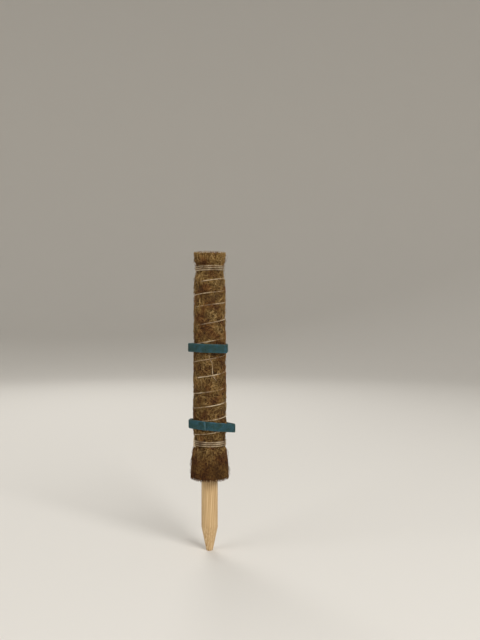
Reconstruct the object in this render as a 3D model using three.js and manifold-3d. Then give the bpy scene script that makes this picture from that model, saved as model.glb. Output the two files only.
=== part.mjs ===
// A moss pole: a wooden core rolled in coconut-fibre felt, bound with a hand-wound thread,
// with two hook-and-loop ties looped round it. Millimetres, +Z up.
// The origin is on the pole's axis at the felt's lower edge, down to which the stake is sunk.
// Angles are in degrees, counter-clockwise from +X seen from above. The front faces -Y.
import * as THREE from "three";
import Module from "manifold-3d";

const wasm = await Module();
wasm.setup();

// Driving dimensions

const clearance = 0.3; // between two pieces that touch

// Wooden core: the bare end below the felt is the stake
const coreDiameter = 22;
const stakeLength = 100;
const pointLength = 36;
const pointTipDiameter = 8; // between the flats of its cuts
const pointCuts = 8;
const coreProud = 2; // how far the core stands out of the felt's top
const coreEdgeChamfer = 0.8;

// Felt: one sheet of coir rolled round the core, with its lap edge at the back
const feltLength = 298;
const feltThickness = 11.4; // of the whole roll, above the base binding
const feltTaper = 2.4; // radius lost from the base binding to the top
const skirtFlare = 2.8; // radius gained from the base binding to the lower edge
const topFlare = 0.9; // the same above the top binding
const lapStep = 0.8;
const lapAngle = 80;
const lapSlant = 2;
const feltColumns = 24;

// Thread: bound round the felt near both ends, and wound in a rising helix between them
const threadDiameter = 1.3;
const threadSink = 0.3; // depth of the thread's centre below the felt's surface
const bindingSpacing = 2.55;
const baseBindingTurns = 3.25; // wound downwards from a knot at the back
const topBindingTurns = 2.75; // wound upwards to a knot at the back
const baseBindingHeight = 45.3; // of the middle of its turns
const topBindingInset = 18.4;
const seatDepth = 2; // how far a binding draws the felt in
const bodyShoulder = 14; // height over which the felt swells out again, towards the pole's middle
const edgeShoulder = 5; // the same towards its ends
const climbHeight = 16.3; // from the lowest turn, over the base binding, to the helix
const climbBend = 1.5; // radius of the climb's two bends
const climbLean = 13; // degrees that it leans back on its way up
const crossingGap = 0.7; // between the climb and the turns that it crosses
const hopHeight = 2; // in which it rises onto them
const helixStartAngle = 206;
const firstSpacing = 16.4; // between the lowest turns
const spacingGrowth = 1.2; // each turn is wound this much wider than the one below
const growingTurns = 8;
const closingSpacing = 18; // nominal, for the turns above those
const knotDiameter = 2.6;
const knotLength = 3.4;

// Ties: flat strips that close on themselves round the pole, with a pocket at each side
// for what they hold to it
const tieWidth = 11.5;
const tieThickness = 1.4;
const tieOverlap = 30;
const tieLiftAngle = 20; // over which the outer end climbs onto the inner one
const upperTieHeight = 172.7;
const upperTieDrop = 35; // how far it can slide down the pole
const upperTieEndAngle = 100;
const upperTieTilt = 1.6; // its right side hangs lower
const upperTieLean = 0;
const upperLeftPocket = 5.6;
const upperRightPocket = 8;
const lowerTieHeight = 68.4;
const lowerTieDrop = 8;
const lowerTieEndAngle = 262;
const lowerTieTilt = 6.4;
const lowerTieLean = 5; // its front sits higher
const lowerLeftPocket = 5.4;
const lowerRightPocket = 8.4;
const lowerRightSlack = 2; // how far that pocket stands off the pole

// Fineness of round forms
const turnSteps = 24;
const threadSides = 6;
const coreSides = 40;
const knotSides = 10;
const tieStep = 5; // degrees
const slideSteps = 24;

const threadRadius = threadDiameter / 2;
const feltBore = coreDiameter / 2 + clearance;
const bodyRadius = feltBore + feltThickness;

const radians = THREE.MathUtils.degToRad;
const { clamp, lerp, mapLinear, smoothstep } = THREE.MathUtils;

function polar(angle, radius, z) {
  const a = radians(angle);
  return new THREE.Vector3(radius * Math.cos(a), radius * Math.sin(a), z);
}

// Felt surface

// A binding's lowest and highest turns, and the ends of the seat that it presses into the felt.
function binding(height, turns, shoulderBelow, shoulderAbove) {
  const rise = turns * bindingSpacing;
  const foot = height - rise / 2;
  const head = height + rise / 2;
  const seatFoot = foot - threadDiameter;
  const seatHead = head + threadDiameter;
  return { rise, foot, head, seatFoot, seatHead, shoulderBelow, shoulderAbove };
}
const baseBinding = binding(baseBindingHeight, baseBindingTurns, edgeShoulder, bodyShoulder);
const topBinding = binding(feltLength - topBindingInset, topBindingTurns, bodyShoulder, edgeShoulder);

// 1 on a binding's seat, falling to 0 where the felt has swollen out again.
function drawnIn(z, { seatFoot, seatHead, shoulderBelow, shoulderAbove }) {
  const below = smoothstep(seatFoot - z, 0, shoulderBelow);
  const above = smoothstep(z - seatHead, 0, shoulderAbove);
  return 1 - below - above;
}

// Radius of the felt at a height, without the lap.
function feltRadius(z) {
  const taper = feltTaper * clamp(mapLinear(z, baseBindingHeight, feltLength, 0, 1), 0, 1);
  const skirt = skirtFlare * (1 - smoothstep(z, 0, baseBindingHeight));
  const lip = topFlare * smoothstep(z, topBinding.seatHead, feltLength);
  const seats = seatDepth * (drawnIn(z, baseBinding) + drawnIn(z, topBinding));
  return bodyRadius - taper + skirt + lip - seats;
}

// The rolled sheet climbs steadily from the edge that it starts at to its lap edge.
function lapHeight(angle) {
  const turn = THREE.MathUtils.euclideanModulo(angle - lapAngle, 360) / 360;
  return lapStep * (turn - 0.5);
}

// A thread on the felt, taut enough to bridge the step down past the lap edge.
function onFelt(angle, z, offset) {
  const lap = Math.max(lapHeight(angle), lapHeight(angle - 360 / turnSteps));
  return polar(angle, feltRadius(z) + lap + offset, z);
}

// Solids from rings of points, each ring counter-clockwise about the way that the rings advance

function skinRings(rings, closed) {
  const count = rings[0].length;
  const spans = closed ? rings.length : rings.length - 1;
  const faces = [];
  for (let i = 0; i < spans; i++) {
    const here = i * count;
    const next = ((i + 1) % rings.length) * count;
    for (let k = 0; k < count; k++) {
      const l = (k + 1) % count;
      faces.push(here + k, here + l, next + l, here + k, next + l, next + k);
    }
  }
  if (!closed) {
    const end = (rings.length - 1) * count;
    for (let k = 1; k < count - 1; k++) {
      faces.push(0, k + 1, k, end, end + k, end + k + 1);
    }
  }
  const vertProperties = new Float32Array(rings.flat().flatMap((p) => p.toArray()));
  const mesh = new wasm.Mesh({ numProp: 3, vertProperties, triVerts: new Uint32Array(faces) });
  return new wasm.Manifold(mesh);
}

function geometryOf(solid) {
  const mesh = solid.getMesh();
  return new THREE.BufferGeometry()
    .setAttribute("position", new THREE.BufferAttribute(mesh.vertProperties, 3))
    .setIndex(new THREE.BufferAttribute(mesh.triVerts, 1));
}

// A round tube along points that lie round the pole. One side of each ring faces away from the axis.
function tube(points, radius) {
  const rings = points.map((p, i) => {
    const before = points[Math.max(i - 1, 0)];
    const after = points[Math.min(i + 1, points.length - 1)];
    const along = after.clone().sub(before).normalize();
    const out = new THREE.Vector3(p.x, p.y, 0).projectOnPlane(along).normalize();
    const side = along.clone().cross(out);
    return Array.from({ length: threadSides }, (_, k) => {
      const a = (k / threadSides) * Math.PI * 2;
      return p
        .clone()
        .addScaledVector(out, radius * Math.cos(a))
        .addScaledVector(side, radius * Math.sin(a));
    });
  });
  return skinRings(rings, false);
}

function steps(from, to, count) {
  return Array.from({ length: count + 1 }, (_, i) => lerp(from, to, i / count));
}

// Thread route

const onSeat = clearance + threadRadius; // offset of a binding turn's centre from the felt
const climbAngle = THREE.MathUtils.radToDeg((2 * climbBend) / bodyRadius);
const helixFoot = baseBinding.foot + climbHeight;
const helixRise = topBinding.foot - helixFoot;

// The lower turns are wound wider and wider apart; the rest share what height is left.
const growingRise = (turns) => firstSpacing * turns + (spacingGrowth * turns * turns) / 2;
let widening = growingTurns;
while (widening > 0 && growingRise(widening) > helixRise - closingSpacing) widening -= 1;
const closingRise = helixRise - growingRise(widening);
const closingTurns = Math.max(1, Math.round(closingRise / closingSpacing));
const helixTurns = widening + closingTurns;

function helixHeight(turns) {
  if (turns <= widening) return helixFoot + growingRise(turns);
  const above = ((turns - widening) / closingTurns) * closingRise;
  return helixFoot + growingRise(widening) + above;
}

function bindingRoute(startAngle, turns, from, to) {
  const count = Math.round(turns * turnSteps);
  return steps(0, 1, count).map((s) => onFelt(startAngle + 360 * turns * s, lerp(from, to, s), onSeat));
}

// From the lowest turn of the base binding to the foot of the helix. The thread bends upwards,
// crosses over the turns above it, runs on up the felt and bends back into its winding.
const bendSteps = 6;
const climbSteps = 14;
const hop = threadDiameter + crossingGap;
function climbRoute() {
  const bend = steps(0, Math.PI / 2, bendSteps);
  const heights = [
    ...bend.map((a) => climbBend * (1 - Math.cos(a))),
    ...steps(climbBend, climbHeight - climbBend, climbSteps).slice(1, -1),
    ...bend.map((a) => climbHeight - climbBend * (1 - Math.sin(a))),
  ];
  return heights.map((height) => {
    const toBend = 1 - clamp(height / climbBend, 0, 1);
    const fromBend = 1 - clamp((climbHeight - height) / climbBend, 0, 1);
    const across = 1 + Math.sqrt(1 - toBend ** 2) - Math.sqrt(1 - fromBend ** 2);
    const lean = climbLean * (1 - height / climbHeight);
    const angle = helixStartAngle - climbAngle * (1 - across / 2) + lean;
    const onTurns = onSeat + hop * smoothstep(height, 0, hopHeight);
    const landing = smoothstep(height, baseBinding.rise + threadRadius, climbHeight);
    return onFelt(angle, baseBinding.foot + height, lerp(onTurns, -threadSink, landing));
  });
}

const landingTurns = 0.15; // of the helix, over which the thread comes out onto the top seat
function helixRoute() {
  return steps(0, helixTurns, helixTurns * turnSteps).map((t) => {
    const landing = smoothstep(t, helixTurns - landingTurns, helixTurns);
    return onFelt(helixStartAngle + 360 * t, helixHeight(t), lerp(-threadSink, onSeat, landing));
  });
}

// A thread end runs straight for one diameter into its knot.
function straightEnd(inner, end) {
  const along = end.clone().sub(inner).normalize();
  return end.clone().addScaledVector(along, threadDiameter);
}

const baseStartAngle = helixStartAngle - climbAngle + climbLean - 360 * baseBindingTurns;
const baseTurns = bindingRoute(baseStartAngle, baseBindingTurns, baseBinding.head, baseBinding.foot);
const climb = climbRoute();
const helix = helixRoute();
const topStartAngle = helixStartAngle + 360 * helixTurns;
const topTurns = bindingRoute(topStartAngle, topBindingTurns, topBinding.foot, topBinding.head);
const bound = [...baseTurns, ...climb.slice(1), ...helix.slice(1), ...topTurns.slice(1)];
const threadRoute = [
  straightEnd(bound[1], bound[0]),
  ...bound,
  straightEnd(bound.at(-2), bound.at(-1)),
];

// Least gap of the thread to itself, measured between points at most half a millimetre apart.
// Points nearer along the thread than eight diameters are left out, as neighbours.
const gapStep = 0.5;
const neighbours = Math.round((8 * threadDiameter) / gapStep);
const samples = threadRoute.slice(1).flatMap((to, i) => {
  const from = threadRoute[i];
  const count = Math.ceil(from.distanceTo(to) / gapStep);
  return steps(0, 1, count).slice(1).map((s) => from.clone().lerp(to, s));
});
let leastGap = Infinity;
samples.forEach((p, i) => {
  for (let j = i + neighbours; j < samples.length; j++) {
    leastGap = Math.min(leastGap, p.distanceTo(samples[j]) - threadDiameter);
  }
});
console.log("winding_thread least gap to itself:", leastGap.toFixed(2), "mm");

// Loose end of the thread: it runs down the front, under the turns that hold it.
// Each point is an angle and a height.
const tailRoute = [
  [269, 168],
  [274, 159],
  [282, 152],
  [283, 140],
  [289, 134],
  [297, 130],
];
const tailSteps = 28;
const tailDip = 2 * threadRadius + clearance; // how much deeper it lies under a turn
const tailDipReach = 3; // height over which it dips

function tailPoint(p) {
  const [angle, z] = [p.x, p.y];
  const turnsHere = (angle - helixStartAngle) / 360;
  let dip = 0;
  for (let turn = 0; turn < helixTurns; turn++) {
    const away = Math.abs(z - helixHeight(turn + turnsHere));
    dip = Math.max(dip, 1 - smoothstep(away, threadDiameter, tailDipReach));
  }
  return onFelt(angle, z, -threadSink - tailDip * dip);
}

const tailCurve = new THREE.CatmullRomCurve3(tailRoute.map(([a, z]) => new THREE.Vector3(a, z, 0)));
const tailPoints = tailCurve.getPoints(tailSteps).map(tailPoint);

// Materials

function material(color, roughness) {
  return new THREE.MeshStandardMaterial({ color, roughness, metalness: 0 });
}
const wood = material(0xc29a66, 0.7);
const coir = material(0x6b4f30, 0.95);
const thread = material(0xcbb594, 0.6);
const strap = material(0x28484c, 0.5);

// Pieces

// A round dowel, chamfered at the top and whittled to a point by flat cuts.
function woodenCore() {
  const radius = coreDiameter / 2;
  const top = feltLength + coreProud;
  const ring = (r, z, count) => steps(0, 360, count).slice(1).map((a) => polar(a, r, z));
  const dowel = skinRings(
    [
      ring(radius, -stakeLength, coreSides),
      ring(radius, top - coreEdgeChamfer, coreSides),
      ring(radius - coreEdgeChamfer, top, coreSides),
    ],
    false,
  );
  // The cuts are the sides of a pyramid that widens from the tip to the dowel's top.
  const tip = pointTipDiameter / 2;
  const spread = (radius - tip) / pointLength;
  const corner = 1 / Math.cos(Math.PI / pointCuts);
  const cuts = skinRings(
    [
      ring(tip * corner, -stakeLength, pointCuts),
      ring((tip + spread * (top + stakeLength)) * corner, top, pointCuts),
    ],
    false,
  );
  return geometryOf(dowel.intersect(cuts));
}

// The felt's outline, swept round the core, then grooved where the thread bites into it.
function feltHeights() {
  // A height, and the number of bands up to it from the height before.
  const levels = [
    [baseBinding.seatFoot - edgeShoulder, 4],
    [baseBinding.seatFoot, 3],
    [baseBinding.seatHead, 1],
    [baseBinding.seatHead + bodyShoulder, 4],
    [topBinding.seatFoot - bodyShoulder, 5],
    [topBinding.seatFoot, 4],
    [topBinding.seatHead, 1],
    [topBinding.seatHead + edgeShoulder, 3],
    [feltLength, 2],
  ];
  const heights = [0];
  for (const [level, bands] of levels) {
    heights.push(...steps(heights.at(-1), level, bands).slice(1));
  }
  return heights;
}

function coirFelt() {
  const angles = steps(lapAngle, lapAngle + 360 - lapSlant, feltColumns);
  const climbing = (k) => lapStep * (k / feltColumns - 0.5);
  const outer = feltHeights().map((z) => angles.map((a, k) => polar(a, feltRadius(z) + climbing(k), z)));
  const bore = [feltLength, 0].map((z) => angles.map((a) => polar(a, feltBore, z)));
  const groove = tube([...climb, ...helix.slice(1)], threadRadius + clearance);
  const tailGroove = tube(tailPoints, threadRadius + clearance);
  return geometryOf(skinRings([...outer, ...bore], true).subtract(groove).subtract(tailGroove));
}

// A barrel of thread turned tight on itself, in line with the thread's end.
function knot(end, before) {
  const along = end.clone().sub(before).normalize();
  const out = new THREE.Vector3(end.x, end.y, 0).normalize();
  const barrel = [
    [0, 0],
    [threadRadius * 1.3, 0],
    [knotDiameter / 2, knotLength * 0.3],
    [knotDiameter / 2, knotLength * 0.7],
    [threadRadius * 1.3, knotLength],
    [0, knotLength],
  ].map(([r, y]) => new THREE.Vector2(r, y));
  const geometry = new THREE.LatheGeometry(barrel, knotSides);
  geometry.applyQuaternion(new THREE.Quaternion().setFromUnitVectors(new THREE.Vector3(0, 1, 0), along));
  const lift = knotDiameter / 2 - threadRadius;
  const place = end.clone().addScaledVector(along, clearance).addScaledVector(out, lift);
  return geometry.translate(place.x, place.y, place.z);
}

// Ties

// What a tie is drawn round: its pockets, and the pole where it is widest along the tie's slide.
function bundle(height, drop, pockets) {
  const slide = steps(height - drop - tieWidth, height + tieWidth, slideSteps);
  const widest = Math.max(...slide.map(feltRadius)) + lapStep / 2;
  const pole = widest + threadRadius - threadSink + clearance;
  const beside = pockets.map(({ angle, diameter, slack }) => {
    const centre = polar(angle, pole + slack + diameter / 2, 0);
    return { x: centre.x, y: centre.y, r: diameter / 2 };
  });
  return [{ x: 0, y: 0, r: pole }, ...beside];
}

// The point of a taut belt round these circles whose outward direction is the angle.
function beltPoint(circles, angle, offset) {
  const out = polar(angle, 1, 0);
  const reach = (c) => c.x * out.x + c.y * out.y + c.r;
  const on = circles.reduce((best, c) => (reach(c) > reach(best) ? c : best));
  return new THREE.Vector2(on.x + (on.r + offset) * out.x, on.y + (on.r + offset) * out.y);
}

// The strip starts under its own outer end, goes once round and closes over its start.
function tie({ height, drop, endAngle, tilt, lean, pockets }) {
  const circles = bundle(height, drop, pockets);
  let start = endAngle;
  let covered = 0;
  while (covered < tieOverlap) {
    const from = beltPoint(circles, start, tieThickness);
    start -= tieStep;
    covered += from.distanceTo(beltPoint(circles, start, tieThickness));
  }
  const angles = steps(start, endAngle + 360, Math.round((endAngle + 360 - start) / tieStep));
  const lifted = start + 360 - tieStep;
  const lift = (a) => (tieThickness + clearance) * smoothstep(a, lifted - tieLiftAngle, lifted);
  const outside = angles.map((a) => beltPoint(circles, a, lift(a) + tieThickness));
  const inside = angles.map((a) => beltPoint(circles, a, lift(a)));
  const outline = new THREE.Shape([...outside, ...inside.reverse()]);
  const strip = new THREE.ExtrudeGeometry(outline, { depth: tieWidth, bevelEnabled: false });
  strip.translate(0, 0, -tieWidth / 2);
  // The strip lies flat on the pole, so a tilted one is slid up and down and not turned.
  const fall = (angle) => -Math.tan(radians(angle));
  return strip.applyMatrix4(new THREE.Matrix4().makeShear(0, fall(tilt), 0, fall(lean), 0, 0));
}

const upperTie = {
  height: upperTieHeight,
  drop: upperTieDrop,
  endAngle: upperTieEndAngle,
  tilt: upperTieTilt,
  lean: upperTieLean,
  pockets: [
    { angle: 199, diameter: upperLeftPocket, slack: 0 },
    { angle: 315, diameter: upperRightPocket, slack: 0 },
  ],
};
const lowerTie = {
  height: lowerTieHeight,
  drop: lowerTieDrop,
  endAngle: lowerTieEndAngle,
  tilt: lowerTieTilt,
  lean: lowerTieLean,
  pockets: [
    { angle: 215, diameter: lowerLeftPocket, slack: 0 },
    { angle: 350, diameter: lowerRightPocket, slack: lowerRightSlack },
  ],
};

// Assembly

function piece(name, geometry, finish, z = 0) {
  const mesh = new THREE.Mesh(geometry, finish);
  mesh.name = name;
  mesh.position.z = z;
  return mesh;
}

const pole = new THREE.Group();
pole.add(
  piece("wooden_core", woodenCore(), wood),
  piece("coir_felt", coirFelt(), coir),
  piece("winding_thread", geometryOf(tube(threadRoute, threadRadius)), thread),
  piece("lower_knot", knot(threadRoute[0], threadRoute[1]), thread),
  piece("upper_knot", knot(threadRoute.at(-1), threadRoute.at(-2)), thread),
  piece("thread_tail", geometryOf(tube(tailPoints, threadRadius)), thread),
  piece("upper_tie", tie(upperTie), strap, upperTieHeight),
  piece("lower_tie", tie(lowerTie), strap, lowerTieHeight),
);

export default pole;
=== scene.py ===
# %% [markdown]
# # Dressing a moss pole
# A moss pole is a supporting stick with a rough coat. This one has a wooden core, a coat of
# coconut-fibre felt, a thread that binds the felt on, and two flat ties that slide along it. The
# frame holds these pieces at their true size and place. This lesson replaces each of them with a
# piece that has the look of the real one, in the same place.

import bisect
import functools
import math
import random

import bmesh
import bpy
from mathutils import Matrix, Vector, noise


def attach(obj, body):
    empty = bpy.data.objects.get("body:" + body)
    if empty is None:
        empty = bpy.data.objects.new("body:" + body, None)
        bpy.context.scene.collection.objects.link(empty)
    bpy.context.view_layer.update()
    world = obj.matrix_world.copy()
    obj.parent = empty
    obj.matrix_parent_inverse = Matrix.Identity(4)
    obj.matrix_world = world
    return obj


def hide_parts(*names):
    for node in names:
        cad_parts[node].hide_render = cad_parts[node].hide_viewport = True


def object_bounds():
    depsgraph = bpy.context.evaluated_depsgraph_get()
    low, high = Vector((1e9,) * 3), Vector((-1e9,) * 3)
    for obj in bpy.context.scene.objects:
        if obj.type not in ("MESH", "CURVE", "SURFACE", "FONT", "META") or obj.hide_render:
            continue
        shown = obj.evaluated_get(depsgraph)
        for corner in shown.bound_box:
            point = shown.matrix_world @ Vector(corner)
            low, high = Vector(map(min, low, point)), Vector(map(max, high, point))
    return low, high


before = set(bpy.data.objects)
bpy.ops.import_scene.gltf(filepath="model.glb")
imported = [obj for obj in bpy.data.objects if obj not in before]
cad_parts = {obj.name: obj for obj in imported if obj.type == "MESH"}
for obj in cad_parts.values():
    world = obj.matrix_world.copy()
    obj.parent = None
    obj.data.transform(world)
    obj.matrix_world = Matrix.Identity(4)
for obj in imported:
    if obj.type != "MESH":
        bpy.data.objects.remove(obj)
cad_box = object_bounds()
MM = 0.001  # the sizes below are in millimetres, and meshes are in metres
print("frame nodes:", sorted(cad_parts))

# %% [markdown]
# ## Camera, floor and light
# The photograph was taken level, from straight in front, so its lines of sight meet at the middle
# of the picture. Its focal length in pixels and the size of a pixel at the pole then give the
# camera's distance. The floor is a wide round sheet of paper that bends up into a backdrop on
# every side, so that no edge shows behind the pole, wherever it is looked at from.

# %% Camera
PICTURE_WIDTH = 480
PICTURE_HEIGHT = 640
FOCAL_PIXELS = 635
HORIZON_PIXEL = 319.4  # row of the picture that is level with the lens
AXIS_PIXEL = 209.6  # column of the picture that the pole's axis runs along
FELT_FOOT_PIXEL = 475  # row of the felt's lower edge
MM_PER_PIXEL = 1.35  # at the pole's axis
SENSOR = 36.0  # width of the camera's sensor

camera = bpy.data.objects.new("camera", bpy.data.cameras.new("camera"))
camera.data.sensor_width = SENSOR
camera.data.lens = SENSOR * FOCAL_PIXELS / PICTURE_HEIGHT
camera.location = MM * MM_PER_PIXEL * Vector(
    (PICTURE_WIDTH / 2 - AXIS_PIXEL, -FOCAL_PIXELS, FELT_FOOT_PIXEL - HORIZON_PIXEL)
)
camera.rotation_euler = (math.radians(90), 0, 0)
bpy.context.scene.collection.objects.link(camera)
bpy.context.scene.camera = camera
print("camera at", tuple(round(x, 3) for x in camera.location))


# %% Colours and nodes
def linear(hex_colour):
    """An sRGB hex colour as the linear RGBA that shader sockets take."""
    parts = [int(hex_colour[i : i + 2], 16) / 255 for i in (1, 3, 5)]
    return [c / 12.92 if c <= 0.04045 else ((c + 0.055) / 1.055) ** 2.4 for c in parts] + [1.0]


def feed(node, inputs):
    """Fills a node's inputs, each with a value, an output, or a node, whose first output it takes."""
    for name, value in dict(inputs).items():
        if isinstance(value, bpy.types.Node):
            value = value.outputs[0]
        if isinstance(value, bpy.types.NodeSocket):
            node.id_data.links.new(value, node.inputs[name])
        else:
            node.inputs[name].default_value = value


def add_node(tree, kind, inputs=(), stops=(), **settings):
    """A shader node with its settings and inputs and, if it is a ramp, its stops."""
    made = tree.nodes.new("ShaderNode" + kind)
    for name, value in settings.items():
        setattr(made, name, value)
    feed(made, inputs)
    for i, (position, colour) in enumerate(stops):
        ramp = made.color_ramp.elements
        stop = ramp[i] if i < len(ramp) else ramp.new(position)
        stop.position = position
        stop.color = linear(colour)
    return made


def new_material(name, **inputs):
    """A material with one Principled shader. Underscores in its socket names stand for spaces."""
    made = bpy.data.materials.new(name)
    made.use_nodes = True
    shader = made.node_tree.nodes["Principled BSDF"]
    feed(shader, {key.replace("_", " "): value for key, value in inputs.items()})
    return made, made.node_tree, shader


print("half-bright grey is", round(linear("#808080")[0], 2), "in linear light")

# %% Shapes and pieces
SEAM = 1e-4  # distance at which the two sides of a spun shape's seam are merged


def spin_round(shape, steps):
    """Spins a profile once round the pole's axis into a skin whose faces point outwards."""
    bmesh.ops.spin(
        shape,
        geom=shape.verts[:] + shape.edges[:],
        cent=(0, 0, 0),
        axis=(0, 0, 1),
        angle=2 * math.pi,
        steps=steps,
        use_merge=True,
    )
    bmesh.ops.remove_doubles(shape, verts=shape.verts, dist=SEAM)
    bmesh.ops.recalc_face_normals(shape, faces=shape.faces)


def to_mesh(name, shape, scale=MM):
    """The mesh of a finished shape, which is in millimetres unless its scale says otherwise."""
    bmesh.ops.scale(shape, verts=shape.verts, vec=(scale, scale, scale))
    mesh = bpy.data.meshes.new(name)
    shape.to_mesh(mesh)
    shape.free()
    return mesh


def add_piece(name, mesh, material, smooth_angle=180):
    """An object for a finished mesh, shaded smooth except at edges sharper than the angle."""
    made = bpy.data.objects.new(name, mesh)
    mesh.materials.append(material)
    mesh.polygons.foreach_set("use_smooth", [True] * len(mesh.polygons))
    if smooth_angle < 180:
        mesh.set_sharp_from_angle(angle=math.radians(smooth_angle))
    bpy.context.scene.collection.objects.link(made)
    print(f"{name}: {len(mesh.polygons)} faces")
    return made


print("shapes in millimetres become meshes at a scale of", MM)

# %% Floor and backdrop
FLOOR_RADIUS = 2.6
BEND_RADIUS = 1.8
BEND_STEPS = 16
BACKDROP_HEIGHT = 2.0
FLOOR_STEPS = 72
floor_level = cad_box[0].z

paper = bmesh.new()
middle = paper.verts.new((0, 0, floor_level))
rim = paper.verts.new((FLOOR_RADIUS, 0, floor_level))
paper.edges.new((middle, rim))
bend = bmesh.ops.spin(
    paper,
    geom=[rim],
    cent=(FLOOR_RADIUS, 0, floor_level + BEND_RADIUS),
    axis=(0, -1, 0),
    angle=math.pi / 2,
    steps=BEND_STEPS,
)["geom_last"]
wall = bmesh.ops.extrude_vert_indiv(paper, verts=bend)["verts"]
bmesh.ops.translate(paper, verts=wall, vec=(0, 0, BACKDROP_HEIGHT))
spin_round(paper, FLOOR_STEPS)
# matt paper has no shine, so that only the pole's shadow shows on it
matt_paper, _, _ = new_material("matt_paper", Base_Color=linear("#d6d2cb"), Roughness=0.95)
studio_paper = add_piece("studio_paper", to_mesh("studio_paper", paper, 1.0), matt_paper)

# %% Light
LAMPS = {
    # name: place in metres, size in metres, watts
    "key_lamp": ((1.3, -1.7, 1.7), 1.2, 52),
    "fill_lamp": ((-1.9, -1.1, 1.3), 1.6, 17),
    "back_lamp": ((-0.6, 1.9, 1.8), 1.4, 26),
}
LAMP_AIM = Vector((0, 0, 0.12))
SKY_STRENGTH = 0.5
for name, (place, size, watts) in LAMPS.items():
    light = bpy.data.lights.new(name, "AREA")
    light.size = size
    light.energy = watts
    lamp = bpy.data.objects.new(name, light)
    lamp.location = place
    lamp.rotation_euler = (LAMP_AIM - lamp.location).to_track_quat("-Z", "Y").to_euler()
    bpy.context.scene.collection.objects.link(lamp)

world = bpy.data.worlds.new("studio")
world.use_nodes = True
feed(world.node_tree.nodes["Background"], {"Color": linear("#e4e2de"), "Strength": SKY_STRENGTH})
bpy.context.scene.world = world
bpy.context.scene.view_settings.view_transform = "Standard"
print("lamps:", ", ".join(LAMPS))

# %% [markdown]
# ## The surface that everything sits on
# The felt is a slightly tapered roll, drawn in under its two bindings and flared below the lower
# one. The rolled sheet climbs a little all the way round and ends in a lap edge at the back. The
# solid in the frame is made by this formula, so it is repeated here: the fibres, the thread and
# the ties all take their place from it. Angles are in degrees, counter-clockwise from +X seen from
# above, and the front faces -Y.

# %% Places round the pole
FRONT = 270.0


def clamp(value, low, high):
    """The value, kept from low to high."""
    return min(max(value, low), high)


def smoothstep(value, low, high):
    """0 up to low, 1 from high on, and a soft change between them."""
    share = clamp((value - low) / (high - low), 0.0, 1.0)
    return share * share * (3.0 - 2.0 * share)


def lerp(low, high, share):
    """The value that is a share of the way from low to high."""
    return low + (high - low) * share


def polar(angle, radius, z):
    """The point at an angle round the pole's axis, a distance from it and a height."""
    turn = math.radians(angle)
    return Vector((radius * math.cos(turn), radius * math.sin(turn), z))


def bearing(point):
    """The angle of a point round the pole's axis."""
    return math.degrees(math.atan2(point.y, point.x))


print("a place at the front:", [round(x, 3) for x in polar(FRONT, 1.0, 0.0)])

# %% Felt radius
CLEARANCE = 0.3  # between pieces that fit on one another
CORE_RADIUS = 11.0
CORE_PROUD = 2.0  # height of the core above the felt's upper edge
FELT_BORE = CORE_RADIUS + CLEARANCE
FELT_LENGTH = 298.0
FELT_WALL = 11.4
BODY_RADIUS = FELT_BORE + FELT_WALL
FELT_TAPER = 2.4  # how much the radius shrinks on the way up
SKIRT_FLARE = 2.8  # how much it grows again towards the lower edge
TOP_FLARE = 0.9  # the same towards the upper edge
LAP_STEP = 0.8  # height of the lap edge
LAP_ANGLE = 80.0
THREAD_RADIUS = 0.65
THREAD_SINK = 0.3  # of the helix's middle line below the felt's surface
BINDING_SPACING = 2.55  # from turn to turn
BASE_TURNS = 3.25
TOP_TURNS = 2.75
BASE_HEIGHT = 45.3  # of the middle of the base binding
TOP_DROP = 18.4  # from the felt's upper edge to the middle of the top binding
TOP_HEIGHT = FELT_LENGTH - TOP_DROP
SEAT_DEPTH = 2.0  # how far a binding draws the felt in
BODY_SHOULDER = 14.0  # height over which the felt swells out again, towards the pole's middle
EDGE_SHOULDER = 5.0  # the same towards its ends


class Binding:
    """Heights of a binding's lowest and highest turns, and of the seat that it presses in."""

    def __init__(self, height, turns, shoulder_below, shoulder_above):
        self.rise = turns * BINDING_SPACING
        self.foot = height - self.rise / 2
        self.head = height + self.rise / 2
        self.seat_foot = self.foot - 2 * THREAD_RADIUS
        self.seat_head = self.head + 2 * THREAD_RADIUS
        self.shoulder_below = shoulder_below
        self.shoulder_above = shoulder_above

    def drawn_in(self, z):
        """1 on the seat, 0 past its shoulders."""
        below = smoothstep(self.seat_foot - z, 0.0, self.shoulder_below)
        above = smoothstep(z - self.seat_head, 0.0, self.shoulder_above)
        return 1.0 - below - above


BASE = Binding(BASE_HEIGHT, BASE_TURNS, EDGE_SHOULDER, BODY_SHOULDER)
TOP = Binding(TOP_HEIGHT, TOP_TURNS, BODY_SHOULDER, EDGE_SHOULDER)


def felt_radius(z):
    """The felt's mean radius at a height."""
    taper = FELT_TAPER * clamp((z - BASE_HEIGHT) / (FELT_LENGTH - BASE_HEIGHT), 0.0, 1.0)
    skirt = SKIRT_FLARE * (1.0 - smoothstep(z, 0.0, BASE_HEIGHT))
    lip = TOP_FLARE * smoothstep(z, TOP.seat_head, FELT_LENGTH)
    seats = SEAT_DEPTH * (BASE.drawn_in(z) + TOP.drawn_in(z))
    return BODY_RADIUS - taper + skirt + lip - seats


def lap_height(angle):
    """How far the rolled sheet is outside the mean radius at an angle."""
    return LAP_STEP * (((angle - LAP_ANGLE) % 360.0) / 360.0 - 0.5)


widths = [round(2 * felt_radius(z)) for z in (0, BASE_HEIGHT, FELT_LENGTH / 2, FELT_LENGTH)]
print("felt across at its foot, waist, middle and top:", widths, "mm")

# %% [markdown]
# ## The thread's route
# One thread holds the felt. It starts at the back with close turns that go down, is carried up
# over them at the left, climbs in a helix whose turns spread as they go up, and ends in close turns
# again. A hand winds it, so each turn wanders a little. The felt needs the route too, because the
# thread bites into it.

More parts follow.
